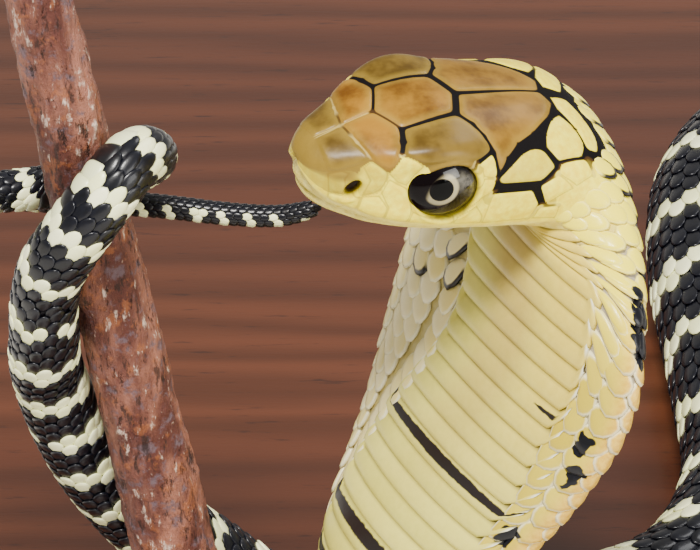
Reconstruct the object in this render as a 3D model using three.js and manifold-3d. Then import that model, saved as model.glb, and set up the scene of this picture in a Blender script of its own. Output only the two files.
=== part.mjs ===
// A young king cobra at life size, reared with its hood spread, the tip of its tail wound
// round a cut length of branch, on a plain wooden display stand. Millimetres, +Z up.
// The origin is the middle of the base's underside. The snake faces -X, its left side to -Y.
import * as THREE from "three";
import { mergeVertices } from "three/addons/utils/BufferGeometryUtils.js";
import Module from "manifold-3d";

const wasm = await Module();
wasm.setup();

// Display stand
const BASE_X = 134;
const BASE_Y = 136;
const BASE_THICK = 6;
const BASE_CORNER = 9;
const BASE_CHAMFER = 1;
const ROD_RADIUS = 1.6;
const GAP = 0.3;

// Branch: the middle of its two cut ends, and its radius there
const PERCH_FOOT = new THREE.Vector3(-39.1, -43, 15.7);
const PERCH_TOP = new THREE.Vector3(-48.1, -43, 68.7);
const PERCH_RADIUS_FOOT = 2.95;
const PERCH_RADIUS_TOP = 2.1;
const PERCH_SIDES = 14;
const PERCH_RINGS = 12;
const PERCH_CLEAR = 0.2;

// Head: where its middle is, and how it is turned
const HEAD_MIDDLE = new THREE.Vector3(-25.26, -49.48, 58.68);
const HEAD_MIDDLE_BEHIND_SNOUT = 7.7;
const HEAD_YAW = 27.8;
const HEAD_NOSE_UP = 11.8;
const HEAD_TILT = 12;
const HEAD_AXIS_DROP = 0.6;

// Raised neck, from the head down to the base
const NAPE_AT = 14.7;
const NAPE_RADIUS = 4.6;
const HOOD_LEAN = 21;
const HOOD_STRAIGHT = 8;
const NECK_LEAN = 31;
const NECK_CURVE = 15;
const NECK_FOOT_LIE = 4.8;
const NECK_YAW = 25;

// The body's route over the base: X and Y of its middle line, from the neck's foot on
const GROUND = [
  [3, -40], [26, -38], [49, -26], [59, 0], [53, 30], [36, 47], [17, 46], [6.5, 33],
  [1.2, 22.5], [-0.3, 10], [0, -5], [-0.3, -18], [-5, -28.5], [-14, -33.6], [-24, -35.6],
];

// The route up the branch and round it, out to the free tip
const CLIMB = [
  [-33, -35.7, 12.2], [-39.8, -36.6, 18.6], [-43.4, -38.3, 23.9], [-45.8, -40.2, 29.3],
  [-47.9, -43, 37.2], [-47.9, -45.5, 42.3], [-47.3, -46.8, 47.3], [-45.1, -47.4, 51.6],
  [-42.6, -45.8, 54.7], [-41.2, -43, 53.8], [-41.9, -40.2, 51.4], [-43.7, -38.9, 49.6],
  [-46.5, -38.9, 49.2], [-50, -39.9, 49.4], [-53.6, -40.4, 49.3], [-56.9, -39.7, 48.9],
  [-57.9, -37.8, 48.2], [-56.8, -36.1, 47.5], [-54, -35.7, 47], [-49, -36.6, 46.8],
  [-41.7, -36.8, 46.4], [-36.8, -36.7, 45.7], [-33.4, -36.6, 45.5], [-30.8, -36.6, 46.2],
];
// Along the climb, the point where the belly leaves the branch and hangs down again
const CLIMB_BACK_UP = 13;

// Sections by distance behind the snout: half width, height above and depth below the middle
// line, and squareness, which is 2 for an ellipse and more for a fuller form
const SECTIONS = [
  [0, 0.5, 0.3, 0.8, 2.2], [0.12, 0.95, 0.6, 1.3, 2.2], [0.4, 1.45, 1.0, 2.1, 2.3],
  [0.9, 2.0, 1.4, 2.8, 2.5], [1.6, 2.5, 1.75, 3.25, 2.6], [2.5, 2.95, 2.25, 3.6, 2.7],
  [4.3, 3.9, 3.1, 3.8, 3.1], [7.4, 4.7, 3.95, 4.0, 3.2], [10.5, 5.15, 4.0, 4.1, 2.9],
  [13.2, 5.45, 3.95, 4.1, 2.5], [15, 5.7, 3.8, 4.0, 2.4], [17.5, 6.5, 3.6, 3.7, 2.2],
  [20.2, 9.1, 3.2, 3.5, 2], [23.2, 12.0, 2.8, 3.4, 1.95], [26.7, 13.4, 2.6, 3.4, 1.9],
  [31.5, 13.2, 2.6, 3.4, 1.9], [36.5, 11.8, 2.7, 3.4, 1.9], [41.5, 9.9, 3.0, 3.5, 1.95],
  [47.5, 7.9, 3.5, 3.7, 2], [54.5, 6.2, 4.1, 4.0, 2], [63.5, 5.0, 4.6, 4.4, 2],
  [75.5, 4.8, 4.7, 4.6, 2],
];
// Body and tail radius by distance from the tail's tip
const TAIL_RADII = [
  [0, 0.42], [0.5, 0.6], [2, 0.74], [6, 0.8], [12, 0.84], [18, 0.92], [26, 1.08], [32, 1.25],
  [39, 1.38], [46, 1.52], [56, 1.95], [68, 2.15], [84, 2.6], [100, 3.3], [130, 4.0],
  [170, 4.5], [220, 4.8], [300, 4.85], [345, 4.75],
];

// Swellings of the skin on both sides: distance, turn from the back, height, and how far it
// reaches along and round the body: the brow, the cheek in front of the eye, the upper lip
const SWELLINGS = [
  [6.6, 50, 0.7, 2.8, 16], [4.6, 80, -0.18, 1.2, 14], [6.5, 101, 0.12, 5, 7],
  [12.6, 84, 0.15, 2.6, 22],
];

// Eyes, nostrils and mouth, in the head's own directions: behind the snout, to the side, up
const EYE = { back: 7.4, side: 3.3, up: 0.7, long: 2.15, out: 1.95, high: 1.8 };
const NOSTRIL = { back: 2.4, side: 3.0, up: 0.1, long: 0.55, out: 0.75, high: 0.62 };
const MOUTH_LINE = [
  [-2, -2.05], [0.6, -2.1], [2, -2.45], [4.5, -2.75], [7.5, -2.9], [10.5, -2.8], [13, -2.45],
  [15, -1.9],
];
const EYE_SEGMENTS = 16;
const MOUTH_GAP = 0.3;
const JAW_END = 15;

// How the animal is parted: distances behind the snout where one length ends and the next begins
const HEAD_END = 17.7;
const NECK_CUTS = [29.5, 41.5, 53.5, 67.5];
const BODY_CUTS = 7;
const TAIL_FROM_TIP = [88, 68, 55, 44.5, 35, 25.8, 17];

// Shields of the left side, each with how far it stands out and its corners: the distance
// behind the snout and the turn from the back. The right side has the same, mirrored.
const SHIELDS = {
  internasal: [0.1, [0.8, 1], [2.3, 0], [2.6, 26], [3.0, 52], [1.9, 65], [1, 75], [0.75, 40]],
  prefrontal: [0.12, [2.3, 0], [4.1, 0], [5, 18], [4.75, 33], [4.4, 48], [3.95, 69], [3, 52],
    [2.6, 26]],
  supraocular: [0.14, [5, 18], [8.5, 12], [9.35, 24], [9.75, 36], [9.9, 48], [8.8, 59],
    [7.2, 58], [5.7, 61], [4.4, 48], [4.75, 33]],
  parietal: [0.14, [8.5, 12], [9.3, 0], [14.9, 0], [15.15, 8], [14.7, 18], [13.1, 32],
    [11.8, 41], [10.9, 54], [10.4, 70], [10, 50], [9.6, 34], [9.2, 22]],
  occipital: [0.12, [15.3, 3], [16, 2], [16.5, 14], [16.9, 27], [16.8, 38], [16.2, 40],
    [15.8, 26], [15.3, 12]],
  temporal_upper_front: [0.12, [10.5, 73], [11.2, 62], [12, 51], [12.8, 46], [13.5, 47],
    [14.2, 60], [13.3, 71], [10.7, 76]],
  temporal_upper_back: [0.12, [15.2, 17], [15.7, 26], [16, 38], [15.8, 48], [14.5, 55],
    [13.8, 44], [14, 34], [14.8, 21]],
  temporal_low_back: [0.1, [14.6, 58], [16.1, 49], [16.6, 58], [15.7, 73], [14.5, 66]],
  temporal_lowest: [0.1, [13.3, 77], [14.5, 67], [15.5, 76], [14, 90]],
  preocular: [0.1, [4.4, 49], [5.1, 55], [5.6, 63], [5.35, 73], [5.1, 84], [4.6, 82], [4, 72]],
  postocular_upper: [0.08, [8.9, 61], [9.9, 49], [10.3, 62], [10.4, 73], [9.5, 73], [9.3, 66]],
  postocular_lower: [0.08, [9.55, 75], [10.4, 75], [10.35, 84], [9.6, 89], [8.9, 94], [9.3, 85]],
  nasal_front: [0.1, [1, 80], [1.6, 70], [2, 74], [1.85, 84], [2.1, 95], [1.3, 100]],
  nasal_back: [0.1, [3, 55], [3.9, 71], [3.95, 80], [3.75, 89], [3, 93], [3.15, 82], [2.7, 64]],
  labial_1: [0.1, [1.3, 101], [2.2, 97], [2.9, 95], [2.9, 108], [1.4, 109]],
  labial_2: [0.1, [3, 94], [3.8, 91], [4.4, 96], [4.4, 107], [3, 108]],
  labial_3: [0.1, [3.9, 90], [4.1, 80], [4.6, 84], [5.2, 87], [5.8, 95], [5.8, 105],
    [4.5, 107], [4.5, 96]],
  labial_4: [0.1, [5.9, 96], [7.2, 99], [8.4, 97], [8.5, 103], [5.9, 105]],
  labial_5: [0.1, [8.6, 97], [9.6, 91], [10.2, 97], [10.3, 102], [8.6, 103]],
  labial_6: [0.1, [10.4, 86], [12.8, 81], [13.5, 90], [13.3, 101], [10.4, 102]],
  labial_7: [0.1, [13.7, 92], [15, 91], [15.3, 100], [13.6, 101]],
};
const FRONTAL = [0.14, [4.1, 0], [5, 18], [8.5, 11], [9.3, 0], [8.5, -11], [5, -18]];
const SHIELD_INSET = 0.12;
const SHIELD_ROOT = 0.45;
const SHIELD_STEP = 1.3;
const SHIELD_CROWN = 0.1;

// Belly scutes of the neck: each rises towards its free rear edge, and their row ends at a turn
const SCUTE_PITCH = 1.5;
const SCUTE_LIFT = 0.16;
const SCUTE_STEP = 0.12;
const SCUTE_ROW_TURN = 112;
const SCUTE_SWEEP = 1.1;

const HEAD_RING = 36;
const NECK_BACK_SIDES = 9;
const NECK_BELLY_SIDES = 16;
const BODY_RING = 16;
const TAIL_RING = 12;

const toRadians = THREE.MathUtils.degToRad;

// A smooth curve through [x, ...values] rows, read at x
function readRows(rows, x) {
  const last = rows.length - 1;
  if (x <= rows[0][0]) return rows[0].slice(1);
  if (x >= rows[last][0]) return rows[last].slice(1);
  let i = 0;
  while (rows[i + 1][0] < x) i += 1;
  const width = rows[i + 1][0] - rows[i][0];
  const t = (x - rows[i][0]) / width;
  const slope = (k, c) => {
    const a = rows[Math.max(k - 1, 0)];
    const b = rows[Math.min(k + 1, last)];
    return (b[c] - a[c]) / (b[0] - a[0]);
  };
  const out = [];
  for (let c = 1; c < rows[0].length; c += 1) {
    const [p, q] = [rows[i][c], rows[i + 1][c]];
    const [m, n] = [slope(i, c) * width, slope(i + 1, c) * width];
    out.push(p + m * t + (3 * (q - p) - 2 * m - n) * t * t + (2 * (p - q) + m + n) * t ** 3);
  }
  return out;
}

// Directions at the head and neck: yaw in plan and fall below the horizontal, both in degrees
function backwards(yaw, fall) {
  const [a, b] = [toRadians(yaw), toRadians(fall)];
  return new THREE.Vector3(Math.cos(a) * Math.cos(b), Math.sin(a) * Math.cos(b), -Math.sin(b));
}

// Straight out of the back, with the left side let down by a tilt in degrees
function tiltedUp(yaw, fall, tilt) {
  const along = backwards(yaw, fall);
  return backwards(yaw, fall - 90).applyAxisAngle(along, toRadians(tilt));
}

// Length of the round bend that brings the neck from a height down to lie on the base
function footArc(height) {
  const radius = (height - BASE_THICK - GAP - NECK_FOOT_LIE) / (1 + Math.sin(toRadians(NECK_LEAN)));
  return radius * toRadians(90 + NECK_LEAN);
}

// The middle line of the head and raised neck, walked a little at a time
function headAndNeck(step) {
  const napeTurn = 90 + HOOD_LEAN - HEAD_NOSE_UP;
  const napeLength = NAPE_RADIUS * toRadians(napeTurn);
  const stages = [
    [NAPE_AT, 0], [napeLength, napeTurn], [HOOD_STRAIGHT, 0],
    [NECK_CURVE, NECK_LEAN - HOOD_LEAN], [null, -90 - NECK_LEAN],
  ];
  const headBack = backwards(HEAD_YAW, HEAD_NOSE_UP);
  const headUp = tiltedUp(HEAD_YAW, HEAD_NOSE_UP, HEAD_TILT);
  const at = HEAD_MIDDLE.clone().addScaledVector(headBack, -HEAD_MIDDLE_BEHIND_SNOUT);
  at.addScaledVector(headUp, -HEAD_AXIS_DROP);
  const route = [{ at: at.clone(), up: headUp }];
  let fall = HEAD_NOSE_UP;
  let walked = 0;
  for (const [stageLength, turn] of stages) {
    const length = stageLength ?? footArc(at.z);
    const count = Math.ceil(length / step);
    for (let i = 0; i < count; i += 1) {
      const share = THREE.MathUtils.smoothstep(walked, NAPE_AT, NAPE_AT + 12);
      const yaw = HEAD_YAW + (NECK_YAW - HEAD_YAW) * share;
      at.addScaledVector(backwards(yaw, fall + turn / count / 2), length / count);
      fall += turn / count;
      walked += length / count;
      const tilt = HEAD_TILT * (1 - THREE.MathUtils.smoothstep(walked, NAPE_AT, NAPE_AT + 16));
      route.push({ at: at.clone(), up: tiltedUp(yaw, fall, tilt) });
    }
  }
  return route;
}

// From the branch's middle line straight out to a point beside it
function awayFromPerch(point) {
  const along = PERCH_TOP.clone().sub(PERCH_FOOT).normalize();
  const out = point.clone().sub(PERCH_FOOT);
  return out.addScaledVector(along, -out.dot(along));
}

// Moves a sample of the middle line outwards where the skin would touch the branch
function keepOffPerch(at, radius) {
  const length = PERCH_TOP.distanceTo(PERCH_FOOT);
  const up = at.z - PERCH_FOOT.z;
  if (up < -radius || up > length + radius) return;
  const share = THREE.MathUtils.clamp(up / length, 0, 1);
  const thick = THREE.MathUtils.lerp(PERCH_RADIUS_FOOT, PERCH_RADIUS_TOP, share);
  const out = awayFromPerch(at);
  const short = thick + radius + PERCH_CLEAR - out.length();
  if (short > 0) at.addScaledVector(out.normalize(), short);
}

// The way points after the neck, each with the direction that the back faces there
function restOfRoute(lies) {
  const level = new THREE.Vector3(0, 0, 1);
  const points = GROUND.map(([x, y], i) => ({
    at: new THREE.Vector3(x, y, BASE_THICK + GAP + lies[i]), up: level,
  }));
  CLIMB.forEach((p, i) => {
    const at = new THREE.Vector3(...p);
    const out = awayFromPerch(at).normalize();
    const onPerch = i > 1 && i < CLIMB_BACK_UP;
    points.push({ at, up: onPerch ? out : level });
  });
  return points;
}

// Catmull-Rom through the way points, sampled evenly between each two
function smoothRoute(points, step) {
  const out = [];
  for (let i = 1; i < points.length - 2; i += 1) {
    const [a, b, c, d] = [points[i - 1], points[i], points[i + 1], points[i + 2]];
    const count = Math.ceil(b.at.distanceTo(c.at) / step);
    for (let k = 0; k < count; k += 1) {
      const t = k / count;
      const mix = (key) => new THREE.Vector3()
        .addScaledVector(a[key], (-t + 2 * t * t - t ** 3) / 2)
        .addScaledVector(b[key], (2 - 5 * t * t + 3 * t ** 3) / 2)
        .addScaledVector(c[key], (t + 4 * t * t - 3 * t ** 3) / 2)
        .addScaledVector(d[key], (-t * t + t ** 3) / 2);
      out.push({ at: mix("at"), up: mix("up").normalize(), way: k === 0 ? i : null });
    }
  }
  return out;
}

// The whole middle line with the distance behind the snout at each sample. Each way point on
// the base lies as high as the body is thick there.
function makeSpine(lies, length) {
  const neck = headAndNeck(0.25);
  const foot = neck[neck.length - 1];
  const before = neck[neck.length - 24];
  const way = restOfRoute(lies);
  const end = way[way.length - 1];
  const past = { at: end.at.clone().multiplyScalar(2).sub(way[way.length - 2].at), up: end.up };
  const rest = smoothRoute([before, foot, ...way, past], 0.5);
  rest.push(end);
  const spine = neck.slice(0, -1).concat(rest);
  let distance = 0;
  spine.forEach((sample, i) => {
    if (i > neck.length) keepOffPerch(sample.at, readRows(TAIL_RADII, length - distance)[0]);
    if (i > 0) distance += sample.at.distanceTo(spine[i - 1].at);
    sample.distance = distance;
  });
  return spine;
}

// The first line is drawn with the body equally thick, which tells where each length of it lies
const ROUGH_LENGTH = 438;

function liesOnBase(spine) {
  const length = spine[spine.length - 1].distance;
  return GROUND.map((_, i) => {
    const sample = spine.find((each) => each.way === i + 2);
    return readRows(TAIL_RADII, length - sample.distance)[0];
  });
}

const ROUGH_SPINE = makeSpine(GROUND.map(() => NECK_FOOT_LIE), ROUGH_LENGTH);
const SPINE = makeSpine(liesOnBase(ROUGH_SPINE), ROUGH_SPINE[ROUGH_SPINE.length - 1].distance);
const LENGTH = SPINE[SPINE.length - 1].distance;

// Place and directions of the middle line at a distance behind the snout
function frameAt(distance) {
  const last = SPINE.length - 1;
  let low = 0;
  let high = last;
  while (high - low > 1) {
    const middle = (low + high) >> 1;
    if (SPINE[middle].distance <= distance) low = middle;
    else high = middle;
  }
  const [a, b] = [SPINE[low], SPINE[high]];
  const t = (distance - a.distance) / (b.distance - a.distance);
  const at = a.at.clone().lerp(b.at, t);
  const before = SPINE[Math.max(low - 1, 0)].at;
  const after = SPINE[Math.min(high + 1, last)].at;
  const along = after.clone().sub(before).normalize();
  const up = a.up.clone().lerp(b.up, t);
  up.addScaledVector(along, -up.dot(along)).normalize();
  return { at, along, up, left: along.clone().cross(up) };
}

// Half width, height above, depth below and squareness of the section at a distance
function sectionAt(distance) {
  if (distance < SECTIONS[SECTIONS.length - 1][0]) return readRows(SECTIONS, distance);
  const [radius] = readRows(TAIL_RADII, LENGTH - distance);
  return [radius, radius, radius, 2];
}

function swellingAt(distance, turn) {
  return SWELLINGS.reduce((sum, [where, round, height, along, wide]) => {
    const far = (distance - where) / along;
    const aside = (Math.abs(turn) - round) / wide;
    return sum + height * Math.exp(-far * far - aside * aside);
  }, 0);
}

// A point of the skin: distance behind the snout, and the turn from the back towards the left
function skinPoint(distance, turn, raised = 0) {
  const lift = raised + swellingAt(distance, turn);
  const { at, up, left } = frameAt(distance);
  const [half, above, below, square] = sectionAt(distance);
  const [s, c] = [Math.sin(toRadians(turn)), Math.cos(toRadians(turn))];
  const across = Math.sign(s) * Math.abs(s) ** (2 / square) * half;
  const rise = Math.sign(c) * Math.abs(c) ** (2 / square) * (c > 0 ? above : below);
  const reach = Math.hypot(across, rise);
  const grow = 1 + lift / reach;
  return at.addScaledVector(left, across * grow).addScaledVector(up, rise * grow);
}

// A closed solid from rings of points: the first and last ring are capped flat
function solidFromRings(rings) {
  const count = rings[0].length;
  const positions = [];
  rings.flat().forEach((p) => positions.push(p.x, p.y, p.z));
  const index = [];
  for (let r = 0; r + 1 < rings.length; r += 1) {
    for (let k = 0; k < count; k += 1) {
      const [a, b] = [r * count + k, r * count + ((k + 1) % count)];
      index.push(a, b, a + count, b, b + count, a + count);
    }
  }
  const cap = (ring, first, flip) => {
    const middle = new THREE.Vector3();
    ring.forEach((p) => middle.addScaledVector(p, 1 / count));
    const tip = positions.length / 3;
    positions.push(middle.x, middle.y, middle.z);
    for (let k = 0; k < count; k += 1) {
      const [a, b] = [first + k, first + ((k + 1) % count)];
      if (flip) index.push(tip, a, b);
      else index.push(tip, b, a);
    }
  };
  cap(rings[0], 0, false);
  cap(rings[rings.length - 1], (rings.length - 1) * count, true);
  const geometry = new THREE.BufferGeometry();
  geometry.setAttribute("position", new THREE.Float32BufferAttribute(positions, 3));
  geometry.setIndex(index);
  return geometry;
}

// The skin between two distances, as a solid
function lengthOfSnake(stations, ringCount) {
  const rings = stations.map((distance) => {
    const ring = [];
    for (let k = 0; k < ringCount; k += 1) ring.push(skinPoint(distance, (360 * k) / ringCount));
    return ring;
  });
  return solidFromRings(rings);
}

function evenStations(from, to, step) {
  const count = Math.max(2, Math.ceil((to - from) / step));
  return Array.from({ length: count + 1 }, (_, i) => from + ((to - from) * i) / count);
}

// Joining and cutting
function toManifold(geometry) {
  const plain = geometry.clone();
  plain.deleteAttribute("normal");
  plain.deleteAttribute("uv");
  const merged = mergeVertices(plain, 1e-5);
  return new wasm.Manifold(new wasm.Mesh({
    numProp: 3,
    vertProperties: new Float32Array(merged.attributes.position.array),
    triVerts: new Uint32Array(merged.index.array),
  }));
}

function largestPiece(solid) {
  const pieces = solid.decompose();
  return pieces.reduce((best, piece) => (piece.volume() > best.volume() ? piece : best));
}

function toGeometry(solid) {
  const mesh = largestPiece(solid).getMesh();
  const geometry = new THREE.BufferGeometry();
  geometry.setAttribute("position", new THREE.Float32BufferAttribute(mesh.vertProperties, 3));
  geometry.setIndex(Array.from(mesh.triVerts));
  return geometry;
}

// The head's own directions as a matrix: X behind the snout, Y to the right, Z up
function headMatrix() {
  const { at, along, up, left } = frameAt(1);
  const matrix = new THREE.Matrix4().makeBasis(along, left.clone().negate(), up);
  return matrix.setPosition(at.addScaledVector(along, -1));
}

// An egg shape set in the head on one side: side is 1 for the left and -1 for the right
function headEgg(part, side, grow, segments) {
  const egg = new THREE.SphereGeometry(1, segments, segments / 2);
  egg.rotateX(Math.PI / 2);
  egg.scale(part.long + grow, part.out + grow, part.high + grow);
  egg.translate(part.back, -side * part.side, part.up);
  return egg;
}

// The block below the mouth line, through the head from side to side
function belowMouth(shift, end) {
  const outline = new THREE.Shape();
  outline.moveTo(-2, -8);
  MOUTH_LINE.forEach(([back, up]) => outline.lineTo(Math.min(back, end), up + shift));
  outline.lineTo(end, MOUTH_LINE[MOUTH_LINE.length - 1][1] + shift);
  outline.lineTo(end, -8);
  outline.closePath();
  const block = new THREE.ExtrudeGeometry(outline, { depth: 20, bevelEnabled: false });
  block.translate(0, 0, -10);
  block.rotateX(Math.PI / 2);
  return block;
}

function material(color, roughness, metalness = 0) {
  return new THREE.MeshStandardMaterial({ color, roughness, metalness });
}

const SHIELD_TAN = material(0xa08a52, 0.45);
const BELLY_CREAM = material(0xd8cf94, 0.5);
const BODY_BLACK = material(0x1c1b22, 0.35);
const EYE_BLACK = material(0x0d0c0c, 0.05);
const BARK_BROWN = material(0x6b4436, 0.85);
const WOOD_BROWN = material(0x7a4a2c, 0.5);
const ROD_STEEL = material(0x8c8c8c, 0.3, 1);

const animal = new THREE.Group();

function addMesh(group, name, geometry, finish) {
  const mesh = new THREE.Mesh(geometry, finish);
  mesh.name = name;
  group.add(mesh);
  return mesh;
}

// Whether the corners run the way round that makes a plate whose faces point out
function runsOutwards(corners) {
  const area = corners.reduce((sum, [distance, turn], i) => {
    const [nextDistance, nextTurn] = corners[(i + 1) % corners.length];
    return sum + distance * nextTurn - nextDistance * turn;
  }, 0);
  return area < 0;
}

// The outline of a shield with its long edges divided, drawn in a little from its seams
function shieldOutline(corners) {
  const points = [];
  corners.forEach(([distance, turn], i) => {
    const [nextDistance, nextTurn] = corners[(i + 1) % corners.length];
    const reach = skinPoint(distance, turn).distanceTo(skinPoint(nextDistance, nextTurn));
    const count = Math.ceil(reach / SHIELD_STEP);
    for (let k = 0; k < count; k += 1) {
      const t = k / count;
      points.push([distance + (nextDistance - distance) * t, turn + (nextTurn - turn) * t]);
    }
  });
  return points;
}

// One shield as a low plate: its rim, a ring half way in and its crown, over a sunk root
function shieldPlate([height, ...corners]) {
  const outline = shieldOutline(runsOutwards(corners) ? corners : corners.toReversed());
  const count = outline.length;
  const middle = [0, 1].map((c) => outline.reduce((sum, p) => sum + p[c], 0) / count);
  const heart = skinPoint(...middle);
  const ring = (share, raised) => outline.map(([distance, turn]) => {
    const reach = skinPoint(distance, turn).distanceTo(heart);
    const scale = share * Math.max(0.3, 1 - SHIELD_INSET / reach);
    const place = [distance, turn].map((value, c) => middle[c] + (value - middle[c]) * scale);
    return skinPoint(place[0], place[1], raised);
  });
  const crown = height + SHIELD_CROWN;
  return solidFromRings([
    ring(0.5, -SHIELD_ROOT), ring(1, -SHIELD_ROOT), ring(1, height), ring(0.5, crown),
  ]);
}

function shieldPlates() {
  const mirrored = ([height, ...corners]) => (
    [height, ...corners.map(([distance, turn]) => [distance, -turn])]);
  const left = Object.values(SHIELDS);
  return [FRONTAL, ...left, ...left.map(mirrored)].map(shieldPlate);
}

// Head and jaw are one form, parted along the mouth, with the sockets and nostrils cut in
function makeHead() {
  const stations = [0, 0.12, 0.35, 0.75, 1.3, 2].concat(evenStations(2.8, HEAD_END, 0.8));
  const whole = toManifold(lengthOfSnake(stations, HEAD_RING));
  const place = headMatrix();
  const placed = (geometry) => toManifold(geometry.applyMatrix4(place));
  let head = whole.subtract(placed(belowMouth(MOUTH_GAP / 2, JAW_END + GAP)));
  const jaw = whole.intersect(placed(belowMouth(-MOUTH_GAP / 2, JAW_END)));
  head = shieldPlates().reduce((solid, plate) => solid.add(toManifold(plate)), head);
  for (const side of [1, -1]) {
    head = head.subtract(placed(headEgg(EYE, side, 0.28, EYE_SEGMENTS)));
    head = head.subtract(placed(headEgg(NOSTRIL, side, 0, 10)));
  }
  addMesh(animal, "head", toGeometry(head), SHIELD_TAN);
  addMesh(animal, "jaw", toGeometry(jaw), BELLY_CREAM);
}

function makeEyes() {
  const group = new THREE.Group();
  group.applyMatrix4(headMatrix());
  animal.add(group);
  addMesh(group, "eye_left", headEgg(EYE, 1, 0, EYE_SEGMENTS), EYE_BLACK);
  addMesh(group, "eye_right", headEgg(EYE, -1, 0, EYE_SEGMENTS), EYE_BLACK);
}

// Turns round the neck, closer together over the belly
function neckTurns() {
  const back = Array.from({ length: NECK_BACK_SIDES },
    (_, k) => -90 + (180 * k) / NECK_BACK_SIDES);
  const belly = Array.from({ length: NECK_BELLY_SIDES },
    (_, k) => 90 + (180 * k) / NECK_BELLY_SIDES);
  return back.concat(belly.map((turn) => (turn > 180 ? turn - 360 : turn)));
}

// The neck's surface with its scutes: their side ends sweep back to a point
function scutePoint(distance, turn, risen) {
  const row = THREE.MathUtils.smoothstep(Math.abs(turn), SCUTE_ROW_TURN - 8, SCUTE_ROW_TURN + 8);
  const sweep = SCUTE_SWEEP * (1 - THREE.MathUtils.smoothstep(Math.abs(turn), 100, 150));
  const ends = Math.min(distance + sweep * risen.free, risen.limit);
  return skinPoint(ends, turn, SCUTE_LIFT * row * risen.share);
}

// Two rings for each scute: its root, and its free rear edge just before the next root
function scutedLength(from, to) {
  const count = Math.round((to - from) / SCUTE_PITCH);
  const pitch = (to - from) / count;
  const turns = neckTurns();
  const rings = [];
  const addRing = (distance, share) => {
    const free = THREE.MathUtils.smoothstep(Math.min(distance - from, to - distance), 0, pitch);
    rings.push(turns.map((turn) => scutePoint(distance, turn, { share, free, limit: to })));
  };
  for (let i = 0; i < count; i += 1) {
    addRing(from + pitch * i, 0);
    addRing(from + pitch * (i + 1) - SCUTE_STEP, 1);
  }
  addRing(to, 0);
  return solidFromRings(rings);
}

function makeNeck() {
  let from = HEAD_END + GAP;
  NECK_CUTS.forEach((cut, i) => {
    addMesh(animal, `neck_${i + 1}`, scutedLength(from, cut - GAP / 2), BELLY_CREAM);
    from = cut + GAP / 2;
  });
}

function makeBodyAndTail() {
  const neckEnd = NECK_CUTS[NECK_CUTS.length - 1];
  const vent = LENGTH - TAIL_FROM_TIP[0];
  const cut = (i) => neckEnd + ((vent - neckEnd) * i) / BODY_CUTS;
  for (let i = 0; i < BODY_CUTS; i += 1) {
    const stations = evenStations(cut(i) + GAP / 2, cut(i + 1) - GAP / 2, 3.5);
    addMesh(animal, `body_${i + 1}`, lengthOfSnake(stations, BODY_RING), BODY_BLACK);
  }
  TAIL_FROM_TIP.forEach((fromTip, i) => {
    const next = TAIL_FROM_TIP[i + 1];
    const from = LENGTH - fromTip + GAP / 2;
    const to = next === undefined ? LENGTH : LENGTH - next - GAP / 2;
    const stations = evenStations(from, to, 1.3);
    addMesh(animal, `tail_${i + 1}`, lengthOfSnake(stations, TAIL_RING), BODY_BLACK);
  });
}

// The branch is sawn level at its foot, where the rod carries it
function makePerch() {
  const rings = [];
  for (let r = 0; r <= PERCH_RINGS; r += 1) {
    const t = r / PERCH_RINGS;
    const middle = PERCH_FOOT.clone().lerp(PERCH_TOP, t);
    const radius = THREE.MathUtils.lerp(PERCH_RADIUS_FOOT, PERCH_RADIUS_TOP, t);
    const ring = [];
    for (let k = 0; k < PERCH_SIDES; k += 1) {
      const turn = (-2 * Math.PI * k) / PERCH_SIDES;
      const uneven = radius * (1 + 0.025 * Math.sin(3 * turn + 5 * t));
      ring.push(middle.clone().add(
        new THREE.Vector3(Math.cos(turn) * uneven, Math.sin(turn) * uneven, 0)));
    }
    rings.push(ring);
  }
  addMesh(animal, "perch", solidFromRings(rings.reverse()), BARK_BROWN);
}

function makeStand() {
  const [x, y, r] = [BASE_X / 2 - BASE_CHAMFER, BASE_Y / 2 - BASE_CHAMFER, BASE_CORNER];
  const outline = new THREE.Shape();
  outline.moveTo(-x + r, -y);
  outline.absarc(x - r, -y + r, r, -Math.PI / 2, 0);
  outline.absarc(x - r, y - r, r, 0, Math.PI / 2);
  outline.absarc(-x + r, y - r, r, Math.PI / 2, Math.PI);
  outline.absarc(-x + r, -y + r, r, Math.PI, 1.5 * Math.PI);
  const base = new THREE.ExtrudeGeometry(outline, {
    depth: BASE_THICK - 2 * BASE_CHAMFER, bevelThickness: BASE_CHAMFER, bevelSize: BASE_CHAMFER,
    bevelSegments: 1, curveSegments: 5,
  });
  const baseMesh = addMesh(animal, "stand_base", base, WOOD_BROWN);
  baseMesh.position.z = BASE_CHAMFER;
  const rodTop = PERCH_FOOT.z - GAP;
  const rodFoot = BASE_THICK + GAP;
  const rod = new THREE.CylinderGeometry(ROD_RADIUS, ROD_RADIUS, rodTop - rodFoot, 24);
  const rodMesh = addMesh(animal, "stand_rod", rod, ROD_STEEL);
  rodMesh.rotation.x = Math.PI / 2;
  rodMesh.position.set(PERCH_FOOT.x, PERCH_FOOT.y, (rodTop + rodFoot) / 2);
}

makeHead();
makeEyes();
makeNeck();
makeBodyAndTail();
makePerch();
makeStand();

export default animal;
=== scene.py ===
import math

import bmesh
import bpy
import numpy as np
from mathutils import Matrix, Vector, noise


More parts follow.
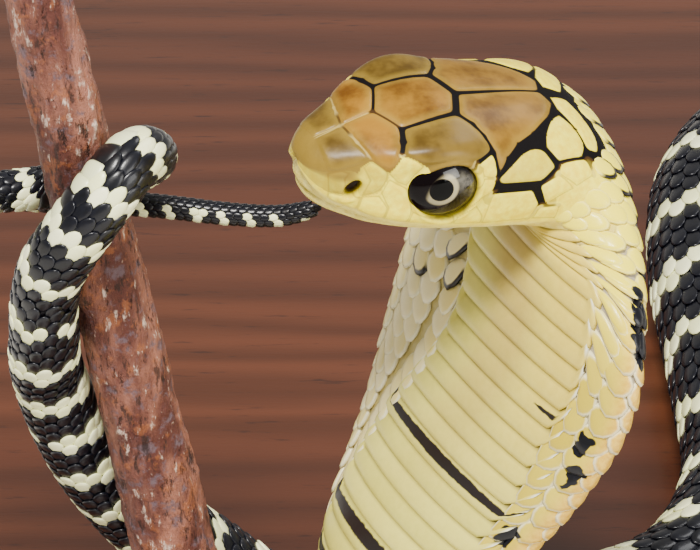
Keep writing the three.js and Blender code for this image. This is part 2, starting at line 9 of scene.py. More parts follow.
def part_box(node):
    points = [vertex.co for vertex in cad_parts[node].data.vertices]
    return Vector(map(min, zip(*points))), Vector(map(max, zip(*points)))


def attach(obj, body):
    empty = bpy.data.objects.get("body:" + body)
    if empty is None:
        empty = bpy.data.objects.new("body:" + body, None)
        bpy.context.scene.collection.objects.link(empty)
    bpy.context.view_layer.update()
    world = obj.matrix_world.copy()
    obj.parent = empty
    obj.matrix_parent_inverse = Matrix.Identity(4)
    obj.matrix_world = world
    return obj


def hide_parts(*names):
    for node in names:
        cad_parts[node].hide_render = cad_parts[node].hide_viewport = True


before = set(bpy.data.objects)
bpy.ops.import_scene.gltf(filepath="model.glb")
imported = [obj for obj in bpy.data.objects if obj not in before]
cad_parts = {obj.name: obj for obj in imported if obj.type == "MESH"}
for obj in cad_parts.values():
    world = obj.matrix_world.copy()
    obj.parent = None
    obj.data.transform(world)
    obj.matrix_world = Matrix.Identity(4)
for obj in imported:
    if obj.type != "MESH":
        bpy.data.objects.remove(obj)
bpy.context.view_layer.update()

MM = 0.001
SEED = 565

# The camera that took the photograph, and the width it sees at its target
CAMERA_TARGET = Vector((-29, -50, 49.7))
CAMERA_ELEVATION = 33
CAMERA_DISTANCE = 200
SEEN_WIDTH = 41.667
SENSOR = 36
CLIP_START = 0.01

# Stand and branch
BASE_THICK = 6
# Widths of the rounded edges, and how many steps round them
BASE_CORNER, BASE_RIM, ROD_RIM = 9, 1, 0.25
BASE_CORNER_STEPS, BASE_RIM_STEPS, ROD_RIM_STEPS, ROD_SIDES = 16, 5, 4, 64
# Edges that bend more than this stay sharp, and edges that rise less than this are level
SHARP_ANGLE, LEVEL = 40, 0.01
# How far the snake's underside stays off the base
GAP = 0.3
PERCH_FOOT = np.array((-39.1, -43, 15.7))
PERCH_TOP = np.array((-48.1, -43, 68.7))
PERCH_RADIUS_FOOT, PERCH_RADIUS_TOP = 2.95, 2.1
PERCH_CLEAR = 0.2
# How far the cut at the perch's top lies under the end of its middle line
PERCH_CUT_UNDER = 0.02
PERCH_RINGS, PERCH_SIDES, PERCH_OCTAVES = 220, 64, 4
# The bark: how far it lies under the solid's surface on the whole, how high its ridges and its
# grain are, and its knot's share of the length, turn, half sizes of both, and height
BARK_UNDER, BARK_RIDGES, BARK_GRAIN = 0.12, 0.2, 0.12
KNOT = (0.56, 4.2, 0.022, 0.5, 0.5)

# Head and raised neck, as the part has them
HEAD_MIDDLE = Vector((-25.26, -49.48, 58.68))
HEAD_MIDDLE_BEHIND_SNOUT = 7.7
HEAD_YAW, HEAD_NOSE_UP, HEAD_TILT = 27.8, 11.8, 12
HEAD_AXIS_DROP = 0.6
NAPE_AT, NAPE_RADIUS = 14.7, 4.6
HOOD_LEAN, HOOD_STRAIGHT = 21, 8
NECK_LEAN, NECK_CURVE, NECK_FOOT_LIE, NECK_YAW = 31, 15, 4.8, 25
# How long the neck takes behind the nape to turn its own way, and to lose the head's tilt
NECK_TURNS_OVER, TILT_LOST_OVER = 12, 16

# The body's route over the base, and up and round the branch
GROUND = [
    (3, -40), (26, -38), (49, -26), (59, 0), (53, 30), (36, 47), (17, 46), (6.5, 33),
    (1.2, 22.5), (-0.3, 10), (0, -5), (-0.3, -18), (-5, -28.5), (-14, -33.6), (-24, -35.6),
]
CLIMB = [
    (-33, -35.7, 12.2), (-39.8, -36.6, 18.6), (-43.4, -38.3, 23.9), (-45.8, -40.2, 29.3),
    (-47.9, -43, 37.2), (-47.9, -45.5, 42.3), (-47.3, -46.8, 47.3), (-45.1, -47.4, 51.6),
    (-42.6, -45.8, 54.7), (-41.2, -43, 53.8), (-41.9, -40.2, 51.4), (-43.7, -38.9, 49.6),
    (-46.5, -38.9, 49.2), (-50, -39.9, 49.4), (-53.6, -40.4, 49.3), (-56.9, -39.7, 48.9),
    (-57.9, -37.8, 48.2), (-56.8, -36.1, 47.5), (-54, -35.7, 47), (-49, -36.6, 46.8),
    (-41.7, -36.8, 46.4), (-36.8, -36.7, 45.7), (-33.4, -36.6, 45.5), (-30.8, -36.6, 46.2),
]
CLIMB_BACK_UP = 13

# Sections by distance behind the snout: half width, above, below, squareness
SECTIONS = [
    (0, 0.5, 0.3, 0.8, 2.2), (0.12, 0.95, 0.6, 1.3, 2.2), (0.4, 1.45, 1.0, 2.1, 2.3),
    (0.9, 2.0, 1.4, 2.8, 2.5), (1.6, 2.5, 1.75, 3.25, 2.6), (2.5, 2.95, 2.25, 3.6, 2.7),
    (4.3, 3.9, 3.1, 3.8, 3.1), (7.4, 4.7, 3.95, 4.0, 3.2), (10.5, 5.15, 4.0, 4.1, 2.9),
    (13.2, 5.45, 3.95, 4.1, 2.5), (15, 5.7, 3.8, 4.0, 2.4), (17.5, 6.5, 3.6, 3.7, 2.2),
    (20.2, 9.1, 3.2, 3.5, 2), (23.2, 12.0, 2.8, 3.4, 1.95), (26.7, 13.4, 2.6, 3.4, 1.9),
    (31.5, 13.2, 2.6, 3.4, 1.9), (36.5, 11.8, 2.7, 3.4, 1.9), (41.5, 9.9, 3.0, 3.5, 1.95),
    (47.5, 7.9, 3.5, 3.7, 2), (54.5, 6.2, 4.1, 4.0, 2), (63.5, 5.0, 4.6, 4.4, 2),
    (75.5, 4.8, 4.7, 4.6, 2),
]
TAIL_RADII = [
    (0, 0.42), (0.5, 0.6), (2, 0.74), (6, 0.8), (12, 0.84), (18, 0.92), (26, 1.08), (32, 1.25),
    (39, 1.38), (46, 1.52), (56, 1.95), (68, 2.15), (84, 2.6), (100, 3.3), (130, 4.0),
    (170, 4.5), (220, 4.8), (300, 4.85), (345, 4.75),
]
# Swellings of the head: distance, turn, height, and how far they reach each way
SWELLINGS = [
    (6.6, 50, 0.7, 2.8, 16), (4.6, 80, -0.18, 1.2, 14), (6.5, 101, 0.12, 5, 7),
    (12.6, 84, 0.15, 2.6, 22),
]
# The length before the body is laid by its own thickness, the steps of the neck's and the body's
# middle lines, and how many steps before the neck's foot the body's curve takes its direction
ROUGH_LENGTH = 438
NECK_STEP, BODY_STEP, BEFORE_FOOT = 0.25, 0.5, 24

# Eyes, nostrils and mouth, in the head's own directions: behind the snout, to the side, up
EYE_MIDDLE = (7.57, 3.95, 0.66)
PUPIL_OFF = (-0.85, 0.55)
EYE_HALF = (2.35, 1.42, 2.1)
EYE_OPENING = (1.82, 1.92)
EYE_SIDES, EYE_RINGS = 64, 40
NOSTRIL_MIDDLE = (2.4, -0.25)
NOSTRIL_HALF = (0.4, 0.72)
NOSTRIL_SLANT = 0.25
MOUTH_LINE = [
    (-2, -2.05), (0.6, -2.1), (2, -2.45), (4.5, -2.75), (7.5, -2.9), (10.5, -2.8), (13, -2.45),
    (15, -1.9),
]
JAW_SLIM = 0.4
# Heights and depths of the head's finer forms
LIP_ROLL, LIP_GROOVE = 0.1, 0.42
EYE_RIM, EYE_SOCKET = 0.16, 1.1
NOSTRIL_RIM, NOSTRIL_DEPTH = 0.07, 0.7
# How far to the side the eyes and the nostrils begin
EYES_FROM, NOSTRILS_FROM = 2, 1.5

# Half widths of seams: a faint one is pale, and one below nothing is dark and lies where the
# outlines leave a gap already
FAINT, LEFT_OUT = 0.03, -0.1
# Shields of the left side; the right side mirrors them. Each has its height, how tan it is, its
# usual seam, and its corners: distance, turn from the back, and the seam that follows where it
# isn't the usual one.
SHIELDS = {
    "internasal": (0.1, 0.72, 0, [
        (0.8, 1, 0.05), (2.3, 0, 0.06), (2.45, 13, 0.055), (2.6, 26, 0.05), (3, 52), (1.9, 65),
        (1, 75), (0.75, 40)]),
    "prefrontal": (0.12, 0.95, 0, [
        (2.3, 0, 0.04), (4.1, 0, 0.062), (5, 18, 0.15), (4.75, 33, 0.12), (4.4, 48), (3.95, 69),
        (3, 52, 0.05), (2.6, 26, 0.055), (2.45, 13, 0.06)]),
    "supraocular": (0.14, 0.7, FAINT, [
        (5, 18, 0.11), (8.5, 12, 0.13), (9.35, 24, 0.13), (9.75, 36, 0.12), (9.9, 48, 0.09),
        (8.8, 59), (7.2, 58), (5.7, 61), (4.4, 48, 0.12), (4.75, 33, 0.15)]),
    "parietal": (0.14, 0.85, LEFT_OUT, [
        (8.5, 12, 0.2), (9.3, 0, 0.12), (14.9, 0), (15.15, 8), (14.7, 18), (13.1, 32), (11.8, 41),
        (10.9, 54), (10.4, 70, 0.11), (10, 50, 0.12), (9.6, 34, 0.13), (9.2, 22, 0.13)]),
    "occipital": (0.12, 0.2, LEFT_OUT, [
        (15.3, 3), (16, 2), (16.5, 14), (16.9, 27), (16.8, 38), (16.2, 40), (15.8, 26),
        (15.3, 12)]),
    "temporal_upper_front": (0.12, 0.35, LEFT_OUT, [
        (10.5, 74), (11.2, 62), (12, 51), (12.8, 46), (13.5, 47), (14.2, 60), (13.3, 72),
        (10.7, 77.5)]),
    "temporal_upper_back": (0.12, 0.25, LEFT_OUT, [
        (15.2, 17), (15.7, 26), (16, 38), (15.8, 48), (14.5, 55), (13.8, 44), (14, 34),
        (14.8, 21)]),
    "temporal_low_back": (0.1, 0.05, -0.06, [
        (14.6, 58), (16.1, 49, 0.06), (16.6, 58, FAINT), (15.7, 73, FAINT), (14.5, 66)]),
    "temporal_lowest": (0.1, 0.1, FAINT, [
        (13.3, 77, -0.06), (14.5, 67), (15.5, 76), (14, 90, LEFT_OUT)]),
    "preocular": (0.1, 0.1, FAINT, [
        (4.4, 49), (5.1, 55), (5.6, 63), (5.35, 73), (5.1, 84), (4.6, 82), (4, 72)]),
    "postocular_upper": (0.08, 0, FAINT, [
        (8.9, 61, 0.08), (9.9, 49, 0.1), (10.3, 62, 0.1), (10.4, 73), (9.5, 73), (9.3, 66)]),
    "postocular_lower": (0.08, 0, FAINT, [
        (9.55, 75), (10.4, 75, 0.09), (10.35, 84), (9.6, 89), (8.9, 94), (9.3, 85)]),
    "nasal_front": (0.1, 0.45, FAINT, [
        (1, 80), (1.6, 70), (2, 74), (1.85, 84), (2.1, 95), (1.3, 100)]),
    "nasal_back": (0.1, 0.35, FAINT, [
        (3, 55), (3.9, 71), (3.95, 80), (3.75, 89), (3, 93), (3.15, 82), (2.7, 64)]),
    "labial_1": (0.1, 0.22, FAINT, [
        (1.3, 101), (2.2, 97), (2.9, 95), (2.9, 109), (1.4, 110)]),
    "labial_2": (0.1, 0.12, FAINT, [
        (3, 94), (3.8, 91), (4.4, 96), (4.4, 108), (3, 109)]),
    "labial_3": (0.1, 0, FAINT, [
        (3.9, 90), (4.1, 80), (4.6, 84), (5.2, 87), (5.8, 95), (5.8, 106), (4.5, 108),
        (4.5, 96)]),
    "labial_4": (0.1, 0.1, FAINT, [
        (5.9, 96), (7.2, 99), (8.4, 97), (8.5, 104), (5.9, 106)]),
    "labial_5": (0.1, 0.1, FAINT, [
        (8.6, 97), (9.6, 91), (10.2, 97), (10.3, 104), (8.6, 104)]),
    "labial_6": (0.1, 0.15, LEFT_OUT, [
        (10.4, 86), (12.8, 81), (13.5, 90, -0.06), (13.3, 103, FAINT), (10.4, 104, FAINT)]),
    "labial_7": (0.1, 0.1, FAINT, [
        (13.7, 92, 0.06), (15, 91), (15.3, 103), (13.6, 103)]),
}
FRONTAL = (0.14, 0.9, 0.1, [
    (4.1, 0, 0.062), (5, 18, 0.11), (8.5, 11, 0.2), (9.3, 0, 0.2), (8.5, -11), (5, -18)])
# How tan the tip of the snout is between its shields
SNOUT_TAN = 0.62
# How sharply a shield's corners turn, how far a seam's darkness spreads, how much of the shields'
# height the fine skin keeps, and how far their middles rise over their edges
CORNER_SHARPNESS, SEAM_SPREAD = 12, 10
SHIELD_RELIEF, SHIELD_DOME = 0.6, 0.09
# Farther than any seam or lip that matters
FAR_OFF = 9.0

# How finely the skin is meshed: distance behind the snout, and the step from there on
SKIN_STEPS = [(0, 0.075), (17.7, 0.45), (30, 1.5), (75, 5), (360, 1.6)]
SKIN_ROUND = 234
SKIN_FINE_TURN, SKIN_FINE_SHARE = 112, 0.87
# Where the head's shields end, how many turns the tables of arcs keep, how near to each other
# vertices are welded, and how far along the skin its slope is taken
HEAD_END, TURNS_KEPT, WELD_REACH, NEARBY = 19, 361, 1e-7, 0.15
# Margins of the baking charts, and the size of one scale's patch
SKIN_MARGIN, SCALE_MARGIN, PATCH = 0.02, 0.01, 0.0015

# Lamps: place, size, power and colour
LAMPS = {
    "key": ((-70, -250, 470), 120, 5, (1, 0.97, 0.92)),
    "fill": ((300, -330, 160), 260, 1.6, (1, 0.99, 0.96)),
    "rim": ((260, 260, 420), 200, 0.9, (1, 1, 1)),
}
ROOM_LIGHT, ROOM_COLOUR = 0.5, (0.95, 0.93, 0.9, 1)


# Curves and the middle line


def read_rows(rows, x):
    """A smooth curve through rows of (x, values...), read at every x."""
    table = np.asarray(rows, float)
    keys, values = table[:, 0], table[:, 1:]
    x = np.clip(np.asarray(x, float), keys[0], keys[-1])
    last = len(keys) - 1
    low = np.clip(np.searchsorted(keys, x, side="right") - 1, 0, last - 1)
    ahead = np.minimum(np.arange(last + 1) + 1, last)
    behind = np.maximum(np.arange(last + 1) - 1, 0)
    slopes = (values[ahead] - values[behind]) / (keys[ahead] - keys[behind])[:, None]
    width = (keys[low + 1] - keys[low])[..., None]
    t = ((x - keys[low]) / width[..., 0])[..., None]
    p, q = values[low], values[low + 1]
    m, n = slopes[low] * width, slopes[low + 1] * width
    return p + m * t + (3 * (q - p) - 2 * m - n) * t**2 + (2 * (p - q) + m + n) * t**3


def read_one(rows, x):
    """The same for rows of (x, value)."""
    return read_rows(rows, x)[..., 0]


def straight(rows, x):
    """Straight lines through rows of (x, value), read at every x."""
    return np.interp(x, *np.array(rows).T)


def smooth(low, high, x):
    """0 below low, 1 above high, and smooth between."""
    t = np.clip((np.asarray(x, float) - low) / (high - low), 0, 1)
    return t * t * (3 - 2 * t)


def fade(low, high, x):
    """1 below low, 0 above high, and smooth between."""
    return 1 - smooth(low, high, x)


def backwards(yaw, fall):
    a, b = math.radians(yaw), math.radians(fall)
    return Vector((math.cos(a) * math.cos(b), math.sin(a) * math.cos(b), -math.sin(b)))


def tilted_up(yaw, fall, tilt):
    along = backwards(yaw, fall)
    return Matrix.Rotation(math.radians(tilt), 3, along) @ backwards(yaw, fall - 90)


def foot_arc(height):
    lean = math.radians(NECK_LEAN)
    radius = (height - BASE_THICK - GAP - NECK_FOOT_LIE) / (1 + math.sin(lean))
    return radius * (math.pi / 2 + lean)


def head_and_neck(step):
    """The middle line from the snout to where the neck lies down, as (point, up) samples."""
    nape_turn = 90 + HOOD_LEAN - HEAD_NOSE_UP
    stages = [
        (NAPE_AT, 0), (NAPE_RADIUS * math.radians(nape_turn), nape_turn), (HOOD_STRAIGHT, 0),
        (NECK_CURVE, NECK_LEAN - HOOD_LEAN), (None, -90 - NECK_LEAN),
    ]
    head_up = tilted_up(HEAD_YAW, HEAD_NOSE_UP, HEAD_TILT)
    at = HEAD_MIDDLE - backwards(HEAD_YAW, HEAD_NOSE_UP) * HEAD_MIDDLE_BEHIND_SNOUT
    at -= head_up * HEAD_AXIS_DROP
    route = [(at.copy(), head_up)]
    fall, walked = HEAD_NOSE_UP, 0.0
    for stage_length, turn in stages:
        length = foot_arc(at.z) if stage_length is None else stage_length
        count = math.ceil(length / step)
        for _ in range(count):
            yaw = HEAD_YAW + (NECK_YAW - HEAD_YAW) * float(
                smooth(NAPE_AT, NAPE_AT + NECK_TURNS_OVER, walked))
            at = at + backwards(yaw, fall + turn / count / 2) * (length / count)
            fall += turn / count
            walked += length / count
            tilt = HEAD_TILT * float(fade(NAPE_AT, NAPE_AT + TILT_LOST_OVER, walked))
            route.append((at.copy(), tilted_up(yaw, fall, tilt)))
    return route


def away_from_perch(point):
    along = PERCH_TOP - PERCH_FOOT
    along /= np.linalg.norm(along)
    out = np.array(point) - PERCH_FOOT
    return out - along * out.dot(along)


def keep_off_perch(at, radius):
    """The sample moved outwards where the skin would touch the branch."""
    length = np.linalg.norm(PERCH_TOP - PERCH_FOOT)
    up = at[2] - PERCH_FOOT[2]
    if up < -radius or up > length + radius:
        return at
    share = min(max(up / length, 0), 1)
    thick = PERCH_RADIUS_FOOT + (PERCH_RADIUS_TOP - PERCH_RADIUS_FOOT) * share
    out = away_from_perch(at)
    reach = np.linalg.norm(out)
    return at + out / reach * max(thick + radius + PERCH_CLEAR - reach, 0)


def rest_of_route(lies):
    level = np.array((0, 0, 1.0))
    points = [(np.array((x, y, BASE_THICK + GAP + lie)), level)
              for (x, y), lie in zip(GROUND, lies)]
    for i, point in enumerate(CLIMB):
        out = away_from_perch(point)
        on_perch = 1 < i < CLIMB_BACK_UP
        points.append((np.array(point, float), out / np.linalg.norm(out) if on_perch else level))
    return points


def smooth_route(points, step):
    """Catmull-Rom through the way points; also which sample is which way point."""
    out, ways = [], {}
    for i in range(1, len(points) - 2):
        a, b, c, d = points[i - 1:i + 3]
        count = math.ceil(np.linalg.norm(b[0] - c[0]) / step)
        ways[i] = len(out)
        for k in range(count):
            t = k / count
            mixed = [(a[key] * (-t + 2 * t * t - t**3) + b[key] * (2 - 5 * t * t + 3 * t**3)
                      + c[key] * (t + 4 * t * t - 3 * t**3) + d[key] * (-t * t + t**3)) / 2
                     for key in (0, 1)]
            out.append((mixed[0], mixed[1] / np.linalg.norm(mixed[1])))
    return out, ways


def make_spine(lies, length):
    """Points, backs' directions and distances of the middle line, and the way points' places."""
    neck = [(np.array(at), np.array(up)) for at, up in head_and_neck(NECK_STEP)]
    way = rest_of_route(lies)
    past = (way[-1][0] * 2 - way[-2][0], way[-1][1])
    rest, ways = smooth_route([neck[-BEFORE_FOOT], neck[-1], *way, past], BODY_STEP)
    rest.append(way[-1])
    at, up, far = [], [], []
    for i, (point, back) in enumerate(neck[:-1] + rest):
        if i > len(neck):
            radius = float(read_one(TAIL_RADII, length - far[-1]))
            point = keep_off_perch(point, radius)
        far.append(far[-1] + float(np.linalg.norm(point - at[-1])) if at else 0.0)
        at.append(point)
        up.append(back)
    places = [len(neck) - 1 + ways[i + 2] for i in range(len(GROUND))]
    return np.array(at), np.array(up), np.array(far), places


def find_spine():
    rough = make_spine([NECK_FOOT_LIE] * len(GROUND), ROUGH_LENGTH)
    length = rough[2][-1]
    lies = read_one(TAIL_RADII, length - rough[2][rough[3]])
    at, up, far, _ = make_spine(lies, length)
    along = np.gradient(at, axis=0)
    return at, up, far, along / np.linalg.norm(along, axis=1)[:, None]


SPINE_AT, SPINE_UP, SPINE_FAR, SPINE_ALONG = find_spine()
LENGTH = SPINE_FAR[-1]
VENT = LENGTH - 88

# Where the coat's pieces begin and end, and how many cover the body between hood and tail
HOOD_COAT_FROM, HOOD_COAT_TO = 0, 75
TAIL_COAT_FROM = LENGTH - 100
BODY_COATS = 4
# The coat: the distance between rows of scales, and how many lie side by side, down the body
FIRST_ROW, FIRST_SCUTE = 15.4, 17
ROW_PITCH = [
    (14, 1.2), (22, 1.25), (28, 1.5), (85, 1.5), (130, 2), (LENGTH - 150, 2), (LENGTH - 110, 1.3),
    (LENGTH - 90, 1.05), (LENGTH - 60, 1), (LENGTH - 45, 0.82), (LENGTH - 32, 0.62),
    (LENGTH, 0.56),
]
ROW_COUNTS = [
    (0, 19), (76, 17), (95, 15), (LENGTH - 112, 13), (LENGTH - 96, 11), (LENGTH - 66, 10),
    (LENGTH - 48, 9), (LENGTH - 36, 8), (LENGTH - 20, 7),
]
# Where the scales end and the belly's scutes begin: distance and turn
LEFT_EDGE = [
    (14, 104), (17, 112), (21.8, 121), (25.5, 126), (29, 128), (32, 129), (35, 125), (38, 122),
    (45, 122), (60, 124), (80, 122), (LENGTH, 118),
]
RIGHT_EDGE = [
    (14, 104), (17, 122), (22, 149), (27, 168), (30, 172), (33, 170), (36, 163), (39, 155),
    (46, 141), (54, 134), (62, 129), (80, 122), (LENGTH, 118),
]
# Where the first scales lie behind the head: turn and distance
FIRST_SCALES = [
    (0, 16.9), (30, 17.5), (40, 17.4), (50, 17.0), (60, 17.2), (73, 16.2), (90, 15.9),
    (100, 15.8), (180, 15.8),
]
# Middles of the dark bands on the hood; behind it each band is a few rows of scales
BANDS_AT = [(0, 0), (17.5, 0.3), (23.5, 1), (32.6, 2), (39.7, 3), (45.8, 4), (50, 5), (54, 6)]
BAND_ROWS = [(0, 3), (86, 3), (116, 4), (LENGTH - 66, 4), (LENGTH - 58, 3)]
NAPE_PALE = 20.5
# Dark marks on the sides of the hood: distance, turn, half length, half width in degrees, and
# whether they fill a scale or only rim it
MARKS = [
    (23.8, 82, 2.2, 13, 1), (31.7, 113, 0.9, 5, 1), (33.8, 107, 1, 6, 1), (18.5, 20, 2.6, 34, 0),
    (18.5, -20, 2.6, 34, 0), (39.9, 115, 0.9, 6, 1), (30.6, -142, 1.3, 11, 0),
    (28.4, -160, 1.3, 7, 0), (46, 122, 1, 8, 1),
]
BELLY_BARS = (39, 45.8, 49.6, 54, 58, 62, 66)
BELLY_DASH = 31
# One scale: how many sides it has, and the reach and height of its rings, top to bottom
SCALE_SIDES = 12
SCALE_RINGS = [(0, 1), (0.5, 0.93), (0.86, 0.66), (1, 0.1), (0.8, -0.9), (0, -0.9)]
# How wide the widest scales' share of the skin is on each side
WIDEST_SCALE_LEFT, WIDEST_SCALE_RIGHT = 1.75, 2.3
# Half sizes as shares of the row's pitch and the scale's place in it, and thickness and rise of
# the tip as shares of the smaller half size
SCALE_LONG, SCALE_WIDE, SCALE_THICK, SCALE_RISE = 0.69, 0.64, 0.2, 0.17
# How much wider the two lowest scales are where they close the gap beside the scutes
LOWEST_WIDER, SECOND_WIDER = 0.42, 0.3
# How unevenly high the scales lie, and how far a pale band's edge strays, in bands
SCALE_UNEVEN, BAND_STRAY = 0.05, 0.3
# One scute's outline from the side: distance in pitches, and height
SCUTE_RING = [
    (-0.6, -0.9), (-0.55, -0.2), (-0.36, 0.3), (-0.1, 0.72), (0.16, 0.95), (0.4, 1),
    (0.58, 0.78), (0.67, 0.35), (0.64, -0.3), (0.5, -0.9),
]
# How far scutes reach under the scales beside them, and past the belly's middle in pairs, and how
# far the two of a pair are set off from the row
SCUTE_TUCK, PAIR_OVERLAP, PAIR_OFF = 0.25, 0.12, 0.25
# How far the ends of the hood's scutes sweep forwards, and how far they rise
END_SWEEP, END_RISE = 1.05, 0.16
# A scute's length and thickness in pitches, and its greatest thickness in the body's radii
SCUTE_LONG, SCUTE_THICK, SCUTE_THICKEST = 1.02, 0.21, 0.12
# How far the scales, the scutes and the bare skin lie under the solids' surface
SCALE_UNDER, SCUTE_UNDER, SKIN_UNDER = 0.1, 0.14, 0.22
# The body turned about its own length where it climbs, which its round solids don't show
ROLLS = [(LENGTH - 130, 0), (LENGTH - 100, 45), (LENGTH - 56, 45), (LENGTH - 42, 0)]


# The skin's form


def unit(vectors):
    return vectors / np.maximum(np.linalg.norm(vectors, axis=-1, keepdims=True), 1e-9)


def frames_at(far):
    """Place and directions of the middle line at every distance behind the snout."""
    def along_spine(values):
        return np.stack([np.interp(far, SPINE_FAR, values[:, i]) for i in range(3)], -1)
    along = unit(along_spine(SPINE_ALONG))
    up = along_spine(SPINE_UP)
    up = unit(up - along * (up * along).sum(-1, keepdims=True))
    left = np.cross(along, up)
    roll = np.radians(straight(ROLLS, far))[..., None]
    up, left = (up * np.cos(roll) + left * np.sin(roll), left * np.cos(roll) - up * np.sin(roll))
    return along_spine(SPINE_AT), along, up, left


def sections_at(far):
    """Half width, above, below and squareness at every distance."""
    front = read_rows(SECTIONS, far)
    radius = read_rows(TAIL_RADII, LENGTH - far)
    back = np.concatenate([radius, radius, radius, np.full_like(radius, 2)], -1)
    return np.where((far < SECTIONS[-1][0])[..., None], front, back)


def swelling(far, turn):
    total = np.zeros(np.broadcast(far, turn).shape)
    for where, round_, height, reach, wide in SWELLINGS:
        total += height * np.exp(-((far - where) / reach) ** 2
                                 - ((np.abs(turn) - round_) / wide) ** 2)
    return total


def bare_skin(far, turn):
    """Points of the skin, by distance behind the snout and turn from the back to the left."""
    far, turn = np.broadcast_arrays(np.asarray(far, float), np.asarray(turn, float))
    at, _, up, left = frames_at(far)
    half, above, below, square = np.moveaxis(sections_at(far), -1, 0)
    s, c = np.sin(np.radians(turn)), np.cos(np.radians(turn))
    across = np.sign(s) * np.abs(s) ** (2 / square) * half
    rise = np.sign(c) * np.abs(c) ** (2 / square) * np.where(c > 0, above, below)
    grow = 1 + swelling(far, turn) / np.maximum(np.hypot(across, rise), 0.2)
    return at + left * (across * grow)[..., None] + up * (rise * grow)[..., None]


def skin_points(far, turn, lift):
    """Points at a height over the skin, measured straight out of it."""
    far, turn = np.broadcast_arrays(np.asarray(far, float), np.asarray(turn, float))
    point = bare_skin(far, turn)
    near, past = np.maximum(far - NEARBY, 0), np.minimum(far + NEARBY, LENGTH)
    length = bare_skin(past, turn) - bare_skin(near, turn)
    girth = bare_skin(far, turn + 1) - bare_skin(far, turn - 1)
    out = unit(np.cross(girth, length))
    return point + out * np.broadcast_to(lift, far.shape)[..., None]


def head_frame():
    """The snout's tip, and the head's directions: backwards, left and up."""
    at, along, up, left = (part[0] for part in frames_at(np.array([1.0])))
    return at - along, along, left, up


def head_places(points):
    """Points in the head's own directions: behind the snout, to the left, up."""
    snout, *axes = head_frame()
    return [(points - snout) @ axis for axis in axes]


def hood_share(far):
    """How much of the hood's own look the coat has at every distance."""
    return smooth(18, 26, far) * fade(44, 66, far)


# Head shields


def outlined(usual, corners):
    """Middle distance of a shield, and its corners with arcs for turns and a seam for each."""
    middle = np.mean([corner[0] for corner in corners])
    full = [(*corner, usual)[:3] for corner in corners]
    return middle, [(far, float(arc_of(middle, turn)), seam) for far, turn, seam in full]


def edges_of(corners):
    """The two ends of every edge round a shield, and its seam."""
    for i, (far, turn, seam) in enumerate(corners):
        yield (far, turn), corners[(i + 1) % len(corners)][:2], seam


def to_segment(x, y, start, end):
    """Distance of every point (x, y) to the straight line between two corners."""
    dx, dy = end[0] - start[0], end[1] - start[1]
    share = np.clip(((x - start[0]) * dx + (y - start[1]) * dy) / (dx * dx + dy * dy), 0, 1)
    return np.hypot(x - start[0] - share * dx, y - start[1] - share * dy)


def shield_fields(far, turn):
    """Over the head: room inside a shield, reach past the seams, seam darkness, tan, height."""
    room = np.full(far.shape, -FAR_OFF)
    beyond = np.full(far.shape, FAR_OFF)
    dark_sum = np.zeros(far.shape)
    weight_sum = np.full(far.shape, 1e-12)
    tan = np.zeros(far.shape)
    height = np.zeros(far.shape)
    shields = [(FRONTAL, turn), *((shield, np.abs(turn)) for shield in SHIELDS.values())]
    for (rise, tone, usual, corners), swing in shields:
        middle, corners = outlined(usual, corners)
        y = arc_of(middle, swing)
        inside = np.zeros(far.shape, bool)
        soft = np.zeros(far.shape)
        nearest = np.full(far.shape, FAR_OFF)
        rim = np.zeros(far.shape)
        for start, end, seam in edges_of(corners):
            gap = to_segment(far, y, start, end)
            soft += np.exp(-CORNER_SHARPNESS * (gap - max(seam, 0)))
            rim = np.where(gap < nearest, max(seam, 0), rim)
            nearest = np.minimum(nearest, gap)
            # Wide seams are dark, and faint ones paler than the skin between shields
            darkness = smooth(0.05, 0.085, abs(seam)) - 0.5 * (abs(seam) < 0.035)
            near = np.exp(-SEAM_SPREAD * gap)
            dark_sum += near * darkness
            weight_sum += near
            beyond = np.minimum(beyond, gap - (0.05 + 0.62 * max(darkness, 0)))
            crosses = (start[1] > y) != (end[1] > y)
            rise_y = (end[1] - start[1]) or 1e-9
            inside ^= crosses & (far < start[0] + (y - start[1]) * (end[0] - start[0]) / rise_y)
        margin = np.where(inside, -np.log(np.maximum(soft, 1e-9)) / CORNER_SHARPNESS,
                          -nearest - rim)
        tan = np.where(margin > room, tone, tan)
        room = np.maximum(room, margin)
        height += rise * smooth(-0.02, 0.14, margin) + SHIELD_DOME * smooth(0.1, 1.6, margin)
    snout = SNOUT_TAN * fade(80, 108, np.abs(turn)) * fade(2, 3.6, far)
    return room, beyond, dark_sum / weight_sum, np.maximum(tan, snout), height


# Mesh making


def new_object(name, data):
    made = bpy.data.objects.new(name, data)
    bpy.context.scene.collection.objects.link(made)
    return made


def mesh_from(bm, name):
    """The mesh that a bmesh has built."""
    mesh = bpy.data.meshes.new(name)
    bm.to_mesh(mesh)
    bm.free()
    return mesh


def coordinates(mesh):
    flat = np.empty(len(mesh.vertices) * 3, np.float32)
    mesh.vertices.foreach_get("co", flat)
    return flat.reshape(-1, 3).astype(float)


def place(mesh, points):
    """Writes points in millimetres as the mesh's vertices in metres."""
    mesh.vertices.foreach_set("co", (np.asarray(points) * MM).astype(np.float32).ravel())
    mesh.update()


def write_fields(mesh, shape, **fields):
    """A number for each vertex under every name; shape is (copies, vertices of one) or (all,)."""
    for name, values in fields.items():
        values = np.broadcast_to(np.asarray(values, np.float32), shape)
        layer = mesh.attributes.new(name, "FLOAT", "POINT")
        layer.data.foreach_set("value", values.ravel())


def inset(share, margin):
    return margin + (1 - 2 * margin) * share


def write_chart(mesh, u, v):
    """The chart for baking: every vertex's place in the unit square."""
    loops = np.empty(len(mesh.loops), np.int32)
    mesh.loops.foreach_get("vertex_index", loops)
    flat = np.stack([u, v], -1)[loops]
    chart = mesh.uv_layers.new(name="OFBake")
    chart.data.foreach_set("uv", flat.astype(np.float32).ravel())


